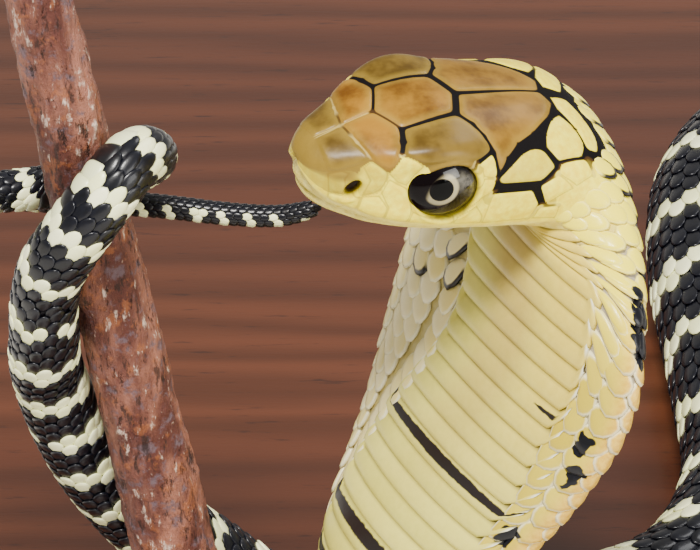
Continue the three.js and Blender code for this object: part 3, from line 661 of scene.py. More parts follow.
def sheet(columns, rows):
    """A flat grid of (columns + 1) by (rows + 1) vertices, with each one's column and row."""
    bm = bmesh.new()
    bmesh.ops.create_grid(bm, x_segments=columns, y_segments=rows, size=0.5)
    mesh = mesh_from(bm, "sheet")
    flat = coordinates(mesh)
    column = np.rint((flat[:, 0] + 0.5) * columns).astype(int)
    row = np.rint((flat[:, 1] + 0.5) * rows).astype(int)
    return mesh, column, row


def ball(name, around, levels):
    """A ball of radius 1, and its vertices."""
    bm = bmesh.new()
    bmesh.ops.create_uvsphere(bm, u_segments=around, v_segments=levels, radius=1)
    mesh = mesh_from(bm, name)
    return mesh, coordinates(mesh)


def weld(mesh):
    """Joins vertices that lie in one place, and turns the faces outwards."""
    bm = bmesh.new()
    bm.from_mesh(mesh)
    bmesh.ops.remove_doubles(bm, verts=bm.verts, dist=WELD_REACH)
    bmesh.ops.recalc_face_normals(bm, faces=bm.faces)
    bm.to_mesh(mesh)
    bm.free()
    mesh.shade_smooth()


def piece(name, mesh, finish, slot, *nodes):
    """A finished piece on the root body, standing for the nodes named."""
    made = new_object(name, mesh)
    mesh.materials.clear()
    mesh.materials.append(finish)
    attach(made, "root")
    if nodes:
        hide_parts(*nodes)


# Shader maths


class Number:
    """A shader socket that holds a number, so that maths on it is written as Python."""

    def __init__(self, finish, socket):
        self.finish = finish
        self.socket = socket

    def maths(self, operation, *others):
        node = self.finish.add("ShaderNodeMath", {"operation": operation}, self, *others)
        return Number(self.finish, node.outputs[0])

    def __add__(self, other):
        return self.maths("ADD", other)

    __radd__ = __add__

    def __mul__(self, other):
        return self.maths("MULTIPLY", other)

    def __sub__(self, other):
        return self.maths("SUBTRACT", other)

    def __rsub__(self, other):
        node = self.finish.add("ShaderNodeMath", {"operation": "SUBTRACT"}, other, self)
        return Number(self.finish, node.outputs[0])

    def step(self, low, high):
        """0 below low, 1 above high, and smooth between; low may be above high."""
        node = self.finish.add(
            "ShaderNodeMapRange", {"interpolation_type": "SMOOTHSTEP"},
            self, min(low, high), max(low, high),
            0.0 if low < high else 1.0, 1.0 if low < high else 0.0)
        return Number(self.finish, node.outputs[0])


class Finish:
    """A material under construction."""

    def __init__(self, name):
        self.material = bpy.data.materials.new(name)
        self.material.use_nodes = True
        self.tree = self.material.node_tree
        self.tree.nodes.clear()
        output = self.tree.nodes.new("ShaderNodeOutputMaterial")
        self.surface = self.tree.nodes.new("ShaderNodeBsdfPrincipled")
        self.tree.links.new(self.surface.outputs[0], output.inputs[0])

    def feed(self, socket, value):
        """Links a shader value to a socket, or sets a constant or a colour's code on it."""
        if isinstance(value, Number):
            value = value.socket
        if isinstance(value, str):
            value = paint(value)
        if isinstance(value, bpy.types.NodeSocket):
            self.tree.links.new(value, socket)
        else:
            socket.default_value = value

    def add(self, kind, settings, *values, **named):
        """A node of a kind: its settings first, then the values or links of its sockets."""
        node = self.tree.nodes.new(kind)
        for key, value in settings.items():
            setattr(node, key, value)
        for socket, value in zip(node.inputs, values):
            self.feed(socket, value)
        for key, value in named.items():
            self.feed(node.inputs[key.replace("_", " ")], value)
        return node

    def fields(self, names):
        """Numbers written on the mesh, by their names."""
        for name in names.split():
            node = self.add("ShaderNodeAttribute", {"attribute_name": name})
            yield Number(self, node.outputs["Fac"])

    def place(self):
        return self.add("ShaderNodeTexCoord", {}).outputs["Object"]

    def stretched(self, *scale):
        """Places scaled along each axis, for noise with a grain."""
        return self.add("ShaderNodeMapping", {}, Vector=self.place(), Scale=scale).outputs[0]

    def noise(self, scale, detail, rough, vector=None):
        """Noise from 0 to 1, scale in waves per millimetre."""
        node = self.add("ShaderNodeTexNoise", {}, Vector=vector or self.place(),
                        Scale=scale / MM, Detail=detail, Roughness=rough)
        return Number(self, node.outputs[0])

    def mix(self, first, second, share):
        node = self.add("ShaderNodeMix", {"data_type": "RGBA", "clamp_factor": True})
        self.feed(node.inputs[0], share)
        self.feed(node.inputs[6], first)
        self.feed(node.inputs[7], second)
        return node.outputs[2]

    def layers(self, colour, *coats):
        """A colour with others laid over it in turn, each with its share."""
        for coat, share in coats:
            colour = self.mix(colour, coat, share)
        return colour

    def bump(self, height, depth):
        """A bump of a depth in millimetres."""
        node = self.add("ShaderNodeBump", {}, Height=height, Distance=depth * MM, Strength=1.0)
        return node.outputs[0]

    def finish(self, **sockets):
        for key, value in sockets.items():
            self.feed(self.surface.inputs[key.replace("_", " ")], value)
        return self.material


def paint(code):
    """A colour from its usual six-figure code, made linear."""
    parts = [int(code[i:i + 2], 16) / 255 for i in (0, 2, 4)]
    linear = [p / 12.92 if p <= 0.04045 else ((p + 0.055) / 1.055) ** 2.4 for p in parts]
    return (*linear, 1.0)


def head_colour(f):
    """Tan and pale shields with their seams, as a colour and the seams' share."""
    room, beyond, dark, tan = f.fields("room beyond dark tan")
    cloud = f.noise(0.33, 4, 0.62)
    fine = f.noise(2.2, 3, 0.6)
    olive = f.mix("463308", "6e5720", cloud.step(0.3, 0.62))
    golden = f.mix("5f3906", "986a1a", cloud.step(0.3, 0.62))
    golden = f.mix(olive, golden, tan.step(0.72, 1.0))
    golden = f.mix(golden, "a08430", room.step(0.6, 0.05) * 0.35)
    pale = f.mix("f2d620", "fff044", fine.step(0.3, 0.75))
    shield = f.mix(pale, golden, tan.step(0.1, 0.7))
    seam_share = room.step(0.03, -0.03) * beyond.step(0.03, -0.03)
    faint = f.mix("a8942c", "7c6224", tan.step(0.3, 0.6))
    light_seam = f.mix("c8b858", "bba662", tan.step(0.3, 0.6))
    seam = f.layers(faint, (light_seam, dark.step(-0.35, -0.1)), ("3d280e", dark.step(0.04, 0.2)),
                    ("050203", dark.step(0.35, 0.6)))
    return f.mix(shield, seam, seam_share * (dark.step(0.05, 0.3) * 0.4 + 0.6)), seam_share


# The skin


def skin_stations():
    """Distances of the skin's rings of vertices."""
    stops = [start for start, _ in SKIN_STEPS[1:]] + [LENGTH]
    runs = [np.arange(start, stop - step / 2, step)
            for (start, step), stop in zip(SKIN_STEPS, stops)]
    return np.concatenate([*runs, [LENGTH]])


def to_mouth(behind, up):
    """Distance to the line between the lips, from a place in the head's own directions."""
    gap = np.full(behind.shape, FAR_OFF)
    for start, end in zip(MOUTH_LINE, MOUTH_LINE[1:]):
        gap = np.minimum(gap, to_segment(behind, up, start, end))
    return gap


def head_relief(far, turn, height):
    """Height of the head's skin over its plain form, and painted shade in creases and hollows."""
    behind, side, up = head_places(bare_skin(far, turn))
    side = np.abs(side)
    lift = SHIELD_RELIEF * height
    lift -= JAW_SLIM * smooth(106, 128, np.abs(turn)) * fade(12, 16, far)
    line = to_mouth(behind, up)
    lips = fade(14.2, 15.4, behind) * (far < 17)
    lift += lips * LIP_ROLL * np.exp(-((line - 0.45) / 0.25) ** 2)
    lift -= lips * LIP_GROOVE * np.exp(-(line / 0.1) ** 2)
    # Painted shade: dark along the mouth line, in the eye sockets and in the nostrils
    fold = 0.45 * lips * fade(0.05, 0.16, line)
    eye = np.hypot((behind - EYE_MIDDLE[0]) / EYE_OPENING[0], (up - EYE_MIDDLE[2]) / EYE_OPENING[1])
    lift += EYE_RIM * np.exp(-((eye - 1.1) / 0.09) ** 2)
    lift -= EYE_SOCKET * fade(0.78, 1.02, eye) * (side > EYES_FROM)
    fold = np.maximum(fold, fade(0.92, 1.04, eye) * (side > EYES_FROM))
    rise = up - NOSTRIL_MIDDLE[1]
    hole = np.hypot((behind - NOSTRIL_MIDDLE[0] - NOSTRIL_SLANT * rise) / NOSTRIL_HALF[0],
                    rise / NOSTRIL_HALF[1])
    lift -= NOSTRIL_DEPTH * fade(0.55, 1.05, hole) * (side > NOSTRILS_FROM)
    lift += NOSTRIL_RIM * np.exp(-((hole - 1.25) / 0.2) ** 2) * (side > NOSTRILS_FROM)
    fold = np.maximum(fold, fade(0.6, 1.0, hole) * (side > NOSTRILS_FROM))
    return lift, fold


def make_skin():
    """The skin of the whole animal, fine on the head and under the scales behind it."""
    stations = skin_stations()
    mesh, column, row = sheet(SKIN_ROUND, len(stations) + 1)
    far = stations[np.clip(row - 1, 0, len(stations) - 1)]
    share = 2 * column / SKIN_ROUND - 1
    fine = arc_of(far, np.full(far.shape, SKIN_FINE_TURN))
    past_fine = np.clip((np.abs(share) - SKIN_FINE_SHARE) / (1 - SKIN_FINE_SHARE), 0, 1)
    arc = fine * np.minimum(np.abs(share) / SKIN_FINE_SHARE, 1)
    arc += (half_girth(far) - fine) * past_fine
    turn = np.sign(share) * turn_of(far, arc)
    on_head = far < HEAD_END
    room, beyond, dark, tan, fold, lift = (np.zeros(far.shape) for _ in range(6))
    beyond += 1
    head, swing = far[on_head], turn[on_head]
    room[on_head], beyond[on_head], dark[on_head], tan[on_head], height = shield_fields(head, swing)
    lift[on_head], fold[on_head] = head_relief(head, swing, height)
    lift -= SKIN_UNDER * smooth(14, 20, far)
    points = skin_points(far, turn, lift)
    ends = (row == 0) | (row == len(stations) + 1)
    points[ends] = frames_at(far[ends])[0]
    place(mesh, points)
    write_fields(mesh, far.shape, room=room, beyond=beyond, dark=dark, tan=tan, fold=fold, far=far,
                 swing=np.abs(turn), side=np.sign(turn), phase=phase_at(far),
                 pale=cream_share(far, turn), marked=in_marks(far, turn, 1))
    write_chart(mesh, inset(row / (len(stations) + 1), SKIN_MARGIN),
                inset(column / SKIN_ROUND, SKIN_MARGIN))
    weld(mesh)
    flesh = [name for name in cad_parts
             if name in ("head", "jaw") or name.startswith(("neck_", "body_", "tail_"))]
    piece("skin", mesh, skin_finish(), "body_scales", *flesh)


def skin_finish():
    f = Finish("skin")
    colour, seam = head_colour(f)
    far, swing, fold, phase, side = f.fields("far swing fold phase side")
    pale, marked = f.fields("pale marked")
    fine = f.noise(2.5, 4, 0.6)
    throat = f.mix("dcc655", "ecdc7d", fine.step(0.3, 0.7))
    # Painted shade, dark brown, in the mouth line, the eye sockets and the nostrils
    colour = f.layers(colour, (throat, swing.step(103, 112)), ("2a1512", fold))
    off = (phase.maths("FRACT") - 0.5).maths("ABSOLUTE")
    cream = (pale * 0.5 - off).step(-0.03, 0.03)
    cream = f.layers(cream, ("ffffff", far.step(NAPE_PALE + 0.5, NAPE_PALE - 0.5)),
                     ("000000", marked))
    black = f.mix("09080a", "151219", fine.step(0.3, 0.7))
    # Skin between the scales: its own colour, darkened to lilac grey on the near side as painted
    # shade between the rows
    lilac = f.mix("9a9080", "b5ab90", fine.step(0.35, 0.7))
    lilac = f.mix("c0b273", lilac, side.step(-0.5, 0.5))
    between = f.mix(lilac, "9b9d74", far.step(50, 70))
    colour = f.mix(colour, f.mix(black, between, cream), far.step(17.5, 20.5))
    gloss = fine * 0.15 + 0.36
    normal = f.bump(f.noise(1.2, 4, 0.6), 0.04)
    return f.finish(Base_Color=colour, Roughness=gloss + seam * 0.25, Normal=normal,
                    Specular_IOR_Level=0.13, Coat_Weight=0.16 - seam * 0.16,
                    Coat_Roughness=0.25)


# Places on the skin by their arc from the middle of the back


def girth_tables():
    """For each millimetre of distance: arcs at even turns, and turns at even shares of arc."""
    far = np.arange(0, LENGTH + 1, 1.0)
    turn = np.linspace(0, 180, TURNS_KEPT)
    points = bare_skin(far[:, None], turn[None])
    steps = np.linalg.norm(np.diff(points, axis=1), axis=-1)
    arc = np.concatenate([np.zeros((len(far), 1)), np.cumsum(steps, 1)], 1)
    share = np.linspace(0, 1, TURNS_KEPT)
    back = np.array([np.interp(share * row[-1], row, turn) for row in arc])
    return arc, back


ARC_TABLE, TURN_TABLE = girth_tables()


def from_table(table, far, share):
    """Reads a table whose rows are millimetres of distance, at a share of its columns."""
    last = table.shape[1] - 1
    x = np.clip(far, 0, len(table) - 1.001)
    y = np.clip(share, 0, 1) * last
    i, j = x.astype(int), np.minimum(y.astype(int), last - 1)
    p, q = x - i, y - j
    top = table[i, j] * (1 - q) + table[i, j + 1] * q
    return top * (1 - p) + (table[i + 1, j] * (1 - q) + table[i + 1, j + 1] * q) * p


def half_girth(far):
    return from_table(ARC_TABLE, far, np.ones(np.shape(far)))


def arc_of(far, turn):
    return np.sign(turn) * from_table(ARC_TABLE, far, np.abs(turn) / 180)


def turn_of(far, arc):
    """The turn at a signed arc; an arc past the middle of the belly comes up the other side."""
    share = np.abs(arc) / half_girth(far)
    turn = np.where(share > 1, 360 - from_table(TURN_TABLE, far, 2 - share),
                    from_table(TURN_TABLE, far, share))
    return np.sign(arc) * turn


def rows_down_the_body():
    """Distances of the rows of scales."""
    far, places = FIRST_ROW, []
    while far < LENGTH - 0.5:
        places.append(far)
        far += float(read_one(ROW_PITCH, far))
    return np.array(places)


def phase_at(far):
    """Counts the dark bands: whole at the middle of each."""
    last_far, last_phase = BANDS_AT[-1]
    counted = np.cumsum(1 / read_one(BAND_ROWS, ROWS_AT))
    since = np.interp(far, ROWS_AT, counted) - np.interp(last_far, ROWS_AT, counted)
    return np.where(far < last_far, straight(BANDS_AT, far), last_phase + since)


def cream_share(far, turn):
    """How much of each band and gap is pale: all at the hood's edge, a third on the body."""
    turn = np.abs(turn)
    hood = fade(44, 62, far)
    on_hood = 0.3 + 0.8 * smooth(45, 66, turn)
    body = 0.34 + 0.1 * smooth(70, 110, turn) - 0.04 * smooth(90, 120, far)
    tail = smooth(LENGTH - 30, LENGTH - 16, far)
    share = on_hood * hood + body * (1 - hood)
    share = share * (1 - tail) + tail * (0.4 * smooth(48, 70, turn) - 0.04)
    return share * fade(LENGTH - 2.5, LENGTH - 1, far)


def in_marks(far, turn, filled):
    """Where the dark marks are that fill a scale, or those that only rim it."""
    inside = np.zeros(np.broadcast(far, turn).shape, bool)
    for where, round_, long, wide, full in MARKS:
        if full == filled:
            inside |= np.hypot((far - where) / long, (turn - round_) / wide) < 1
    return inside


def cream_at(far, turn, stray):
    """Which scales are pale, each a little astray from its place in the bands."""
    phase = phase_at(far) + stray
    off = np.abs(phase - np.floor(phase) - 0.5)
    return (off < cream_share(far, turn) / 2) | (far < NAPE_PALE)


# Scales


def array_of(mesh, count):
    """The mesh repeated count times by an array modifier, as one mesh."""
    single = new_object("array", mesh)
    row = single.modifiers.new("row", "ARRAY")
    row.count = count
    row.use_merge_vertices = False
    graph = bpy.context.evaluated_depsgraph_get()
    joined = bpy.data.meshes.new_from_object(single.evaluated_get(graph))
    bpy.data.objects.remove(single)
    return joined


def seed_scale():
    """A ball to shape one scale from, and each vertex's angle, reach and height."""
    last = len(SCALE_RINGS) - 1
    mesh, points = ball("scale", SCALE_SIDES, last)
    ring = np.rint(np.arccos(np.clip(points[:, 2], -1, 1)) / np.pi * last).astype(int)
    reach, height = np.array(SCALE_RINGS).T
    return mesh, np.arctan2(points[:, 1], points[:, 0]), reach[ring], height[ring]


def chart_patches(mesh, u, v, x, y):
    """A small patch for every copy at its root's place on the skin unrolled."""
    write_chart(mesh, *((inset(root, SCALE_MARGIN) + PATCH * shape).ravel()
                        for root, shape in ((u, x), (v, y))))


def rows_between(start, stop):
    return ROWS_AT[(ROWS_AT >= start) & (ROWS_AT < stop)]


def edges_at(far):
    """Arcs to the left and right edges of the scales."""
    return arc_of(far, read_one(LEFT_EDGE, far)), arc_of(far, -read_one(RIGHT_EDGE, far))


def scale_sites(start, stop):
    """Every scale between two distances, as (distance, arc, turn, the row's pitch, the scale's
    width, and the number of scales between it and the belly's edge)."""
    sites = []
    for far in rows_between(start, stop):
        pitch = float(read_one(ROW_PITCH, far))
        count = [rows for begins, rows in ROW_COUNTS if begins <= far][-1]
        left, right = edges_at(far)
        marks = np.arange(count + 1) / count * 2 - 1
        # On the hood scales widen towards the back's middle on the left, and the edge on the right
        bow = 0.3 * float(hood_share(far)) * np.where(marks < 0, -0.5, 1)
        bowed = np.sign(marks) * (np.abs(marks) * (1 + bow) - bow * np.abs(marks) ** 2.2)
        lines = (left + right) / 2 + (left - right) / 2 * bowed
        for row in range(count):
            middle = (lines[row] + lines[row + 1]) / 2
            late = (row - count // 2) % 2
            where = far + pitch * 0.5 * late
            turn = float(turn_of(np.array(where), np.array(middle)))
            if where < straight(FIRST_SCALES, abs(turn)):
                continue
            widest = WIDEST_SCALE_LEFT if middle > 0 else WIDEST_SCALE_RIGHT
            wide = min(lines[row + 1] - lines[row], widest)
            sites.append((where, middle, turn, pitch, wide, min(row, count - 1 - row)))
    return np.array(sites, float)


def make_scales(name, start, stop):
    """The coat between two distances, every scale a bent copy of one."""
    sites = scale_sites(start, stop)
    # One row of every array is one scale, and one column one of its vertices
    far, arc, turn, pitch, wide, edge = sites.T[..., None]
    draws = np.random.default_rng(SEED + int(start)).random((len(sites), 4))
    mesh, angle, reach, height = seed_scale()
    mesh = array_of(mesh, len(sites))
    hood = hood_share(far)
    beside_belly = (edge < 1) * hood
    point = 1.9 - 0.25 * hood
    round_ = (np.abs(np.cos(angle)) ** point + np.abs(np.sin(angle)) ** point) ** (-1 / point)
    half_long = pitch * (SCALE_LONG + 0.02 * hood + 0.06 * beside_belly)
    low_hood = smooth(29, 33, far) * fade(66, 78, far) * (arc > 0)
    half_wide = wide * (SCALE_WIDE + 0.02 * hood - 0.1 * beside_belly)
    half_wide *= 1 + low_hood * (LOWEST_WIDER * (edge == 0) + SECOND_WIDER * (edge == 1))
    x = round_ * np.cos(angle) * reach
    y = round_ * np.sin(angle) * reach
    # Beside the belly the lower corners of the scales reach forwards
    belly_side = np.clip(np.sign(arc) * y, -1, 1)
    horn = np.maximum(belly_side, 0) ** 2
    x_mm = x * half_long - (0.35 * belly_side + 0.75 * horn) * beside_belly
    x_mm -= 0.5 * horn * ((edge == 1) * hood)
    size = np.minimum(half_long, half_wide)
    lift = size * (SCALE_THICK * height + SCALE_RISE * (x + 0.4)) - 0.05
    lift += (draws[:, :1] - 0.5) * SCALE_UNEVEN * size
    lift -= 0.04 * hood
    flat_far = np.clip(far + x_mm, 0, LENGTH)
    flat_turn = turn_of(flat_far, arc + y * half_wide)
    place(mesh, skin_points(flat_far, flat_turn, lift - SCALE_UNDER).reshape(-1, 3))
    stray = (draws[:, 1:2] - 0.5) * (BAND_STRAY - 0.14 * smooth(80, 110, far))
    cream = cream_at(far, turn, stray) & ~in_marks(flat_far, flat_turn, 1)
    write_fields(mesh, x.shape, cream=cream, rimmed=in_marks(far, turn, 0), tone=draws[:, 2:3],
                 side=arc > 0, rim=reach, tip=x, far=flat_far, swing=np.abs(flat_turn))
    chart_patches(mesh, (far - start) / (stop - start), turn / 360 + 0.5, x, y)
    mesh.shade_smooth()
    piece(name, mesh, SCALE_FINISH, "body_scales")


def make_scutes(name, start, stop, across, pairs=False):
    """The wide scutes of the belly, or the paired ones under the tail."""
    mesh, column, row = sheet(len(SCUTE_RING), across)
    along, height = np.array(SCUTE_RING + SCUTE_RING[:1])[column].T
    places = rows_between(start, stop)
    sides = (1, -1) if pairs else (0,)
    side = np.tile(sides, len(places))[:, None]
    far = np.repeat(places, len(sides))[:, None] + PAIR_OFF * side
    mesh = array_of(mesh, len(far))
    pitch = read_one(ROW_PITCH, far)
    girth = half_girth(far)
    left, right = edges_at(far)
    low, high = left - SCUTE_TUCK, 2 * girth + right + SCUTE_TUCK
    if pairs:
        low = np.where(side > 0, low, girth - PAIR_OVERLAP)
        high = np.where(side > 0, girth + PAIR_OVERLAP, high)
    share = row / across
    ends = 2 * share - 1
    taper = np.clip(1 - np.abs(ends) ** 26, 0, 1) ** 0.5
    hood = hood_share(far)
    x = along * (0.35 + 0.65 * taper)
    near_end = smooth(0.9, 1, np.abs(ends)) ** 1.5
    x_mm = x * pitch * SCUTE_LONG - near_end * END_SWEEP * hood
    thick = np.minimum(SCUTE_THICK * pitch, SCUTE_THICKEST * girth / np.pi)
    lift = height * thick * (0.4 + 0.6 * taper) + END_RISE * near_end * hood
    arc = low + (high - low) * share
    flat_far = np.clip(far + x_mm, 0, LENGTH)
    points = skin_points(flat_far, turn_of(flat_far, arc), lift - SCUTE_UNDER)
    place(mesh, points.reshape(-1, 3))
    draws = np.random.default_rng(SEED + 9 + int(start)).random(far.shape)
    bar = np.zeros(far.shape)
    for where in BELLY_BARS:
        bar[np.argmin(np.abs(far - where))] += np.abs(far - where).min() < 1
    dash = np.abs(far - BELLY_DASH) == np.abs(far - BELLY_DASH).min()
    dash = dash & (start < BELLY_DASH < stop)
    write_fields(mesh, flat_far.shape, bar=bar, dash=dash, tone=draws, hood=hood, tip=along,
                 ends=ends, far=flat_far, phase=phase_at(far))
    spot = (turn_of(far, (low + high) / 2) / 360) % 1
    chart_patches(mesh, (far - start) / (stop - start), spot, x, ends)
    weld(mesh)
    piece(name, mesh, SCUTE_FINISH, "belly_scutes")


def scale_finish():
    f = Finish("body_scales")
    cream, tone, side, rim, rimmed = f.fields("cream tone side rim rimmed")
    tip, far, swing = f.fields("tip far swing")
    fine = f.noise(2.5, 4, 0.6)
    # Painted sheen: the black is tinted blue, and lighter at the rims of the scales
    black = f.mix("030306", "0a0c17", fine.step(0.3, 0.75) * 0.6 + tone * 0.4)
    black = f.mix(black, "191a24", rim.step(0.8, 1.0) * 0.35)
    pale = f.mix("f0f2ac", "fdfdd4", tone * 0.6 + fine * 0.4)
    yellow = f.mix("c4ac26", "d8c23e", tone)
    peach = f.mix("cd9c2a", "e4bb46", fine.step(0.3, 0.7))
    # Painted light: the lower scales on the far side of the hood are paler than on the near side
    far_side_light = f.mix("eed97a", "fbecae", tone)
    on_hood = f.layers(peach, (yellow, swing.step(96, 112)),
                       (far_side_light, swing.step(96, 122) * (1 - side)))
    past_nape = far.step(20, 27)
    on_hood = f.mix("fbe932", on_hood, past_nape)
    on_hood = f.mix(on_hood, "f1ebc8", rim.step(0.72, 0.95) * (past_nape * 0.6 + 0.25))
    light = f.layers(pale, (on_hood, far.step(62, 46)),
                     ("0c0708", rim.step(0.6, 0.75) * rimmed * tip.step(-0.35, 0.15)))
    colour = f.mix(black, light, cream.step(0.4, 0.6))
    return f.finish(Base_Color=colour, Roughness=0.3 + fine * 0.12, Normal=f.bump(fine, 0.015),
                    Specular_IOR_Level=0.28, Coat_Weight=0.22, Coat_Roughness=0.14)


def scute_finish():
    f = Finish("belly_scutes")
    bar, dash, tone, hood = f.fields("bar dash tone hood")
    tip, ends, far, phase = f.fields("tip ends far phase")
    cloud = f.noise(0.22, 3, 0.55)
    fine = f.noise(2.0, 4, 0.6)
    pale = f.mix("c9c052", "e8dc6e", tone * 0.35 + fine * 0.65)
    yellow = f.mix("d2b842", "e6d05a", fine)
    tan = f.mix("ab8e42", "bca055", fine)
    off = (ends - 0.1).maths("ABSOLUTE")
    ragged = (tip - 0.04).maths("ABSOLUTE") + (fine - 0.5) * 0.14
    stripe = bar * (ragged + (ends * ends) * 0.1).step(0.27, 0.2)
    dash = dash * ends.step(-0.6, -0.66) * ends.step(-0.95, -0.9)
    stripe = stripe + dash * (ragged + (ends + 0.9) * 0.35).step(0.16, 0.1)
    gap = (phase.maths("FRACT") - 0.5).maths("ABSOLUTE")
    body = f.mix("08070b", "e6e9b8", gap.step(0.23, 0.2))
    colour = f.layers(
        pale,
        (yellow, ends.step(0.3, -0.7) * far.step(44, 26)),
        # Painted shade: darker tan down the middle of the belly, deepest under the head
        (tan, off.step(0.6, 0.1) * far.step(46, 26) * (cloud * 0.5 + 0.5)),
        ("f3f0d6", ends.maths("ABSOLUTE").step(0.965, 1.0) * hood),
        # Painted shade in the valley where each scute's front runs under the one before
        ("4a3f1c", tip.step(-0.15, -0.42) * 0.75),
        ("19110f", stripe),
        (body, far.step(80, 150)))
    return f.finish(Base_Color=colour, Roughness=0.34 + fine * 0.1, Normal=f.bump(fine, 0.012),
                    Specular_IOR_Level=0.45, Coat_Weight=0.25, Coat_Roughness=0.18)


# Eyes


def make_eye(side, name):
    """An eye, with a pupil that looks forwards; side is 1 for the left and -1 for the right."""
    mesh, round_ = ball(f"eye_{name}", EYE_SIDES, EYE_RINGS)
    snout, *axes = head_frame()
    spot = [EYE_MIDDLE[0], EYE_MIDDLE[1] * side, EYE_MIDDLE[2]]
    turned = round_[:, [0, 2, 1]] * (EYE_HALF[0], EYE_HALF[1] * side, EYE_HALF[2])
    place(mesh, snout + sum((spot[i] + turned[:, i])[:, None] * axis
                            for i, axis in enumerate(axes)))
    depth = 1 - (PUPIL_OFF[0] / EYE_HALF[0]) ** 2 - (PUPIL_OFF[1] / EYE_HALF[2]) ** 2
    pupil = np.array([PUPIL_OFF[0], EYE_HALF[1] * side * depth**0.5, PUPIL_OFF[1]])
    rim = np.hypot(turned[:, 0] / EYE_OPENING[0], turned[:, 2] / EYE_OPENING[1])
    write_fields(mesh, rim.shape, reach=np.linalg.norm(turned - pupil, axis=1), rim=rim,
                 high=turned[:, 2] + 0.5 * turned[:, 0])
    weld(mesh)
    piece(f"eye_fine_{name}", mesh, EYE_FINISH, "eye", f"eye_{name}")


def eye_finish():
    f = Finish("eye")
    reach, rim, high = f.fields("reach rim high")
    streaks = f.noise(1.3, 5, 0.7)
    ring = (reach - 0.88).maths("ABSOLUTE").step(0.26, 0.08)
    colour = f.layers(
        f.mix("0b0608", "3a3430", streaks.step(0.45, 0.75)),
        # Painted reflection: the upper part of the iris is lighter grey
        ("6b675a", high.step(0.2, 1.4) * streaks.step(0.3, 0.6) * 0.7),
        ("aba07a", ring * (high.step(-1.6, 0.4) * 0.35 + 0.6)),
        ("000000", reach.step(0.74, 0.7)),
        # Dark edge of the eye: partly its own dark rim, partly painted shade of the socket
        ("070304", rim.step(0.74, 0.92)))
    return f.finish(Base_Color=colour, Roughness=0.05, Specular_IOR_Level=0.1,
                    Coat_Weight=high.step(0.7, 1.3) * 0.6 + 0.05, Coat_Roughness=0.02)


# Branch and stand


def rough(points, scale, seed):
    """Unevenness at every point, scale in waves per millimetre."""
    shift = Vector((seed * 7.1, seed * 3.3, seed * 5.7))
    return np.array([noise.fractal(Vector(p) * scale + shift, 1.0, 2.1, PERCH_OCTAVES)
                     for p in points])


def make_perch():
    """The cut length of branch, with ridged bark and a knot, closed at both ends."""
    mesh, column, row = sheet(PERCH_SIDES, PERCH_RINGS + 2)
    share = np.clip((row - 1) / PERCH_RINGS, 0, 1)
    turn = 2 * np.pi * column / PERCH_SIDES
    along = PERCH_TOP - PERCH_FOOT
    axis = along / np.linalg.norm(along)
    out = np.stack([np.cos(turn), np.sin(turn), np.zeros_like(turn)], -1)
    out = unit(out - axis * (out @ axis)[:, None])
    radius = PERCH_RADIUS_FOOT + (PERCH_RADIUS_TOP - PERCH_RADIUS_FOOT) * share
    middle = PERCH_FOOT + along * share[:, None]
    ridge = rough(middle * (1, 1, 0.25) + out * 3, 0.55, 1) * BARK_RIDGES
    grain = rough(middle * (1, 1, 0.4) + out * 3, 2.2, 2) * BARK_GRAIN
    at, round_, long, wide, high = KNOT
    knot = np.exp(-((share - at) / long) ** 2 - ((turn - round_) / wide) ** 2) * high
    radius = radius - BARK_UNDER + ridge + grain + knot
    radius = np.where((row == 0) | (row == PERCH_RINGS + 2), 0, radius)
    points = middle + out * radius[:, None]
    points[:, 2] = np.minimum(points[:, 2], PERCH_TOP[2] - PERCH_CUT_UNDER)
    place(mesh, points)
    weld(mesh)
    piece("perch_bark", mesh, bark_finish(), "bark", "perch")


def bark_finish():
    f = Finish("bark")
    stretched = f.stretched(1, 1, 0.3)
    broad = f.noise(0.3, 4, 0.6, stretched)
    fine = f.noise(1.5, 6, 0.7, stretched)
    patches = f.noise(0.8, 4, 0.65)
    cracks = f.noise(0.9, 5, 0.75, stretched)
    colour = f.layers(
        f.mix("542a22", "986250", broad.step(0.36, 0.58)),
        ("9c5a30", patches.step(0.54, 0.64) * 0.5),
        ("64525a", patches.step(0.46, 0.34) * 0.85),
        ("e2cbbb", fine.step(0.55, 0.64) * patches.step(0.47, 0.58) * 0.75),
        ("22110e", fine.step(0.45, 0.36) * 0.8),
        ("1a0c0a", cracks.step(0.4, 0.33) * 0.85))
    normal = f.bump(fine + broad * 0.5 + patches * 0.5 + cracks.step(0.33, 0.42) * 0.6, 0.5)
    return f.finish(Base_Color=colour, Roughness=0.68 - fine * 0.2, Normal=normal,
                    Specular_IOR_Level=0.35)


def height_of(edge):
    return abs(edge.verts[0].co.z - edge.verts[1].co.z)


def round_edges(bm, edges, width, segments):
    bmesh.ops.bevel(bm, geom=edges, offset=width, affect="EDGES", segments=segments, profile=0.5,
                    material=-1)


def stand_mesh(bm, name):
    """The mesh of a part of the stand in metres, smooth but for its sharp edges."""
    bmesh.ops.scale(bm, vec=(MM, MM, MM), verts=bm.verts)
    mesh = mesh_from(bm, name)
    mesh.shade_smooth()
    mesh.set_sharp_from_angle(angle=math.radians(SHARP_ANGLE))
    return mesh


def make_base():
    """The base: its upright corners and its upper and lower rims are rounded."""
    low, high = (np.array(corner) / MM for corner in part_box("stand_base"))
    bm = bmesh.new()
    bmesh.ops.create_cube(bm, size=1)
    bmesh.ops.scale(bm, vec=high - low, verts=bm.verts)
    bmesh.ops.translate(bm, vec=(high + low) / 2, verts=bm.verts)
    upright = [edge for edge in bm.edges if height_of(edge) > BASE_THICK / 2]
    round_edges(bm, upright, BASE_CORNER, BASE_CORNER_STEPS)
    rims = [edge for edge in bm.edges if height_of(edge) < LEVEL
            and len([face for face in edge.link_faces if abs(face.normal.z) > 0.5]) == 1]
    round_edges(bm, rims, BASE_RIM, BASE_RIM_STEPS)
    mesh = stand_mesh(bm, "base")
    piece("stand_base_top", mesh, wood_finish(), "base_wood", "stand_base")


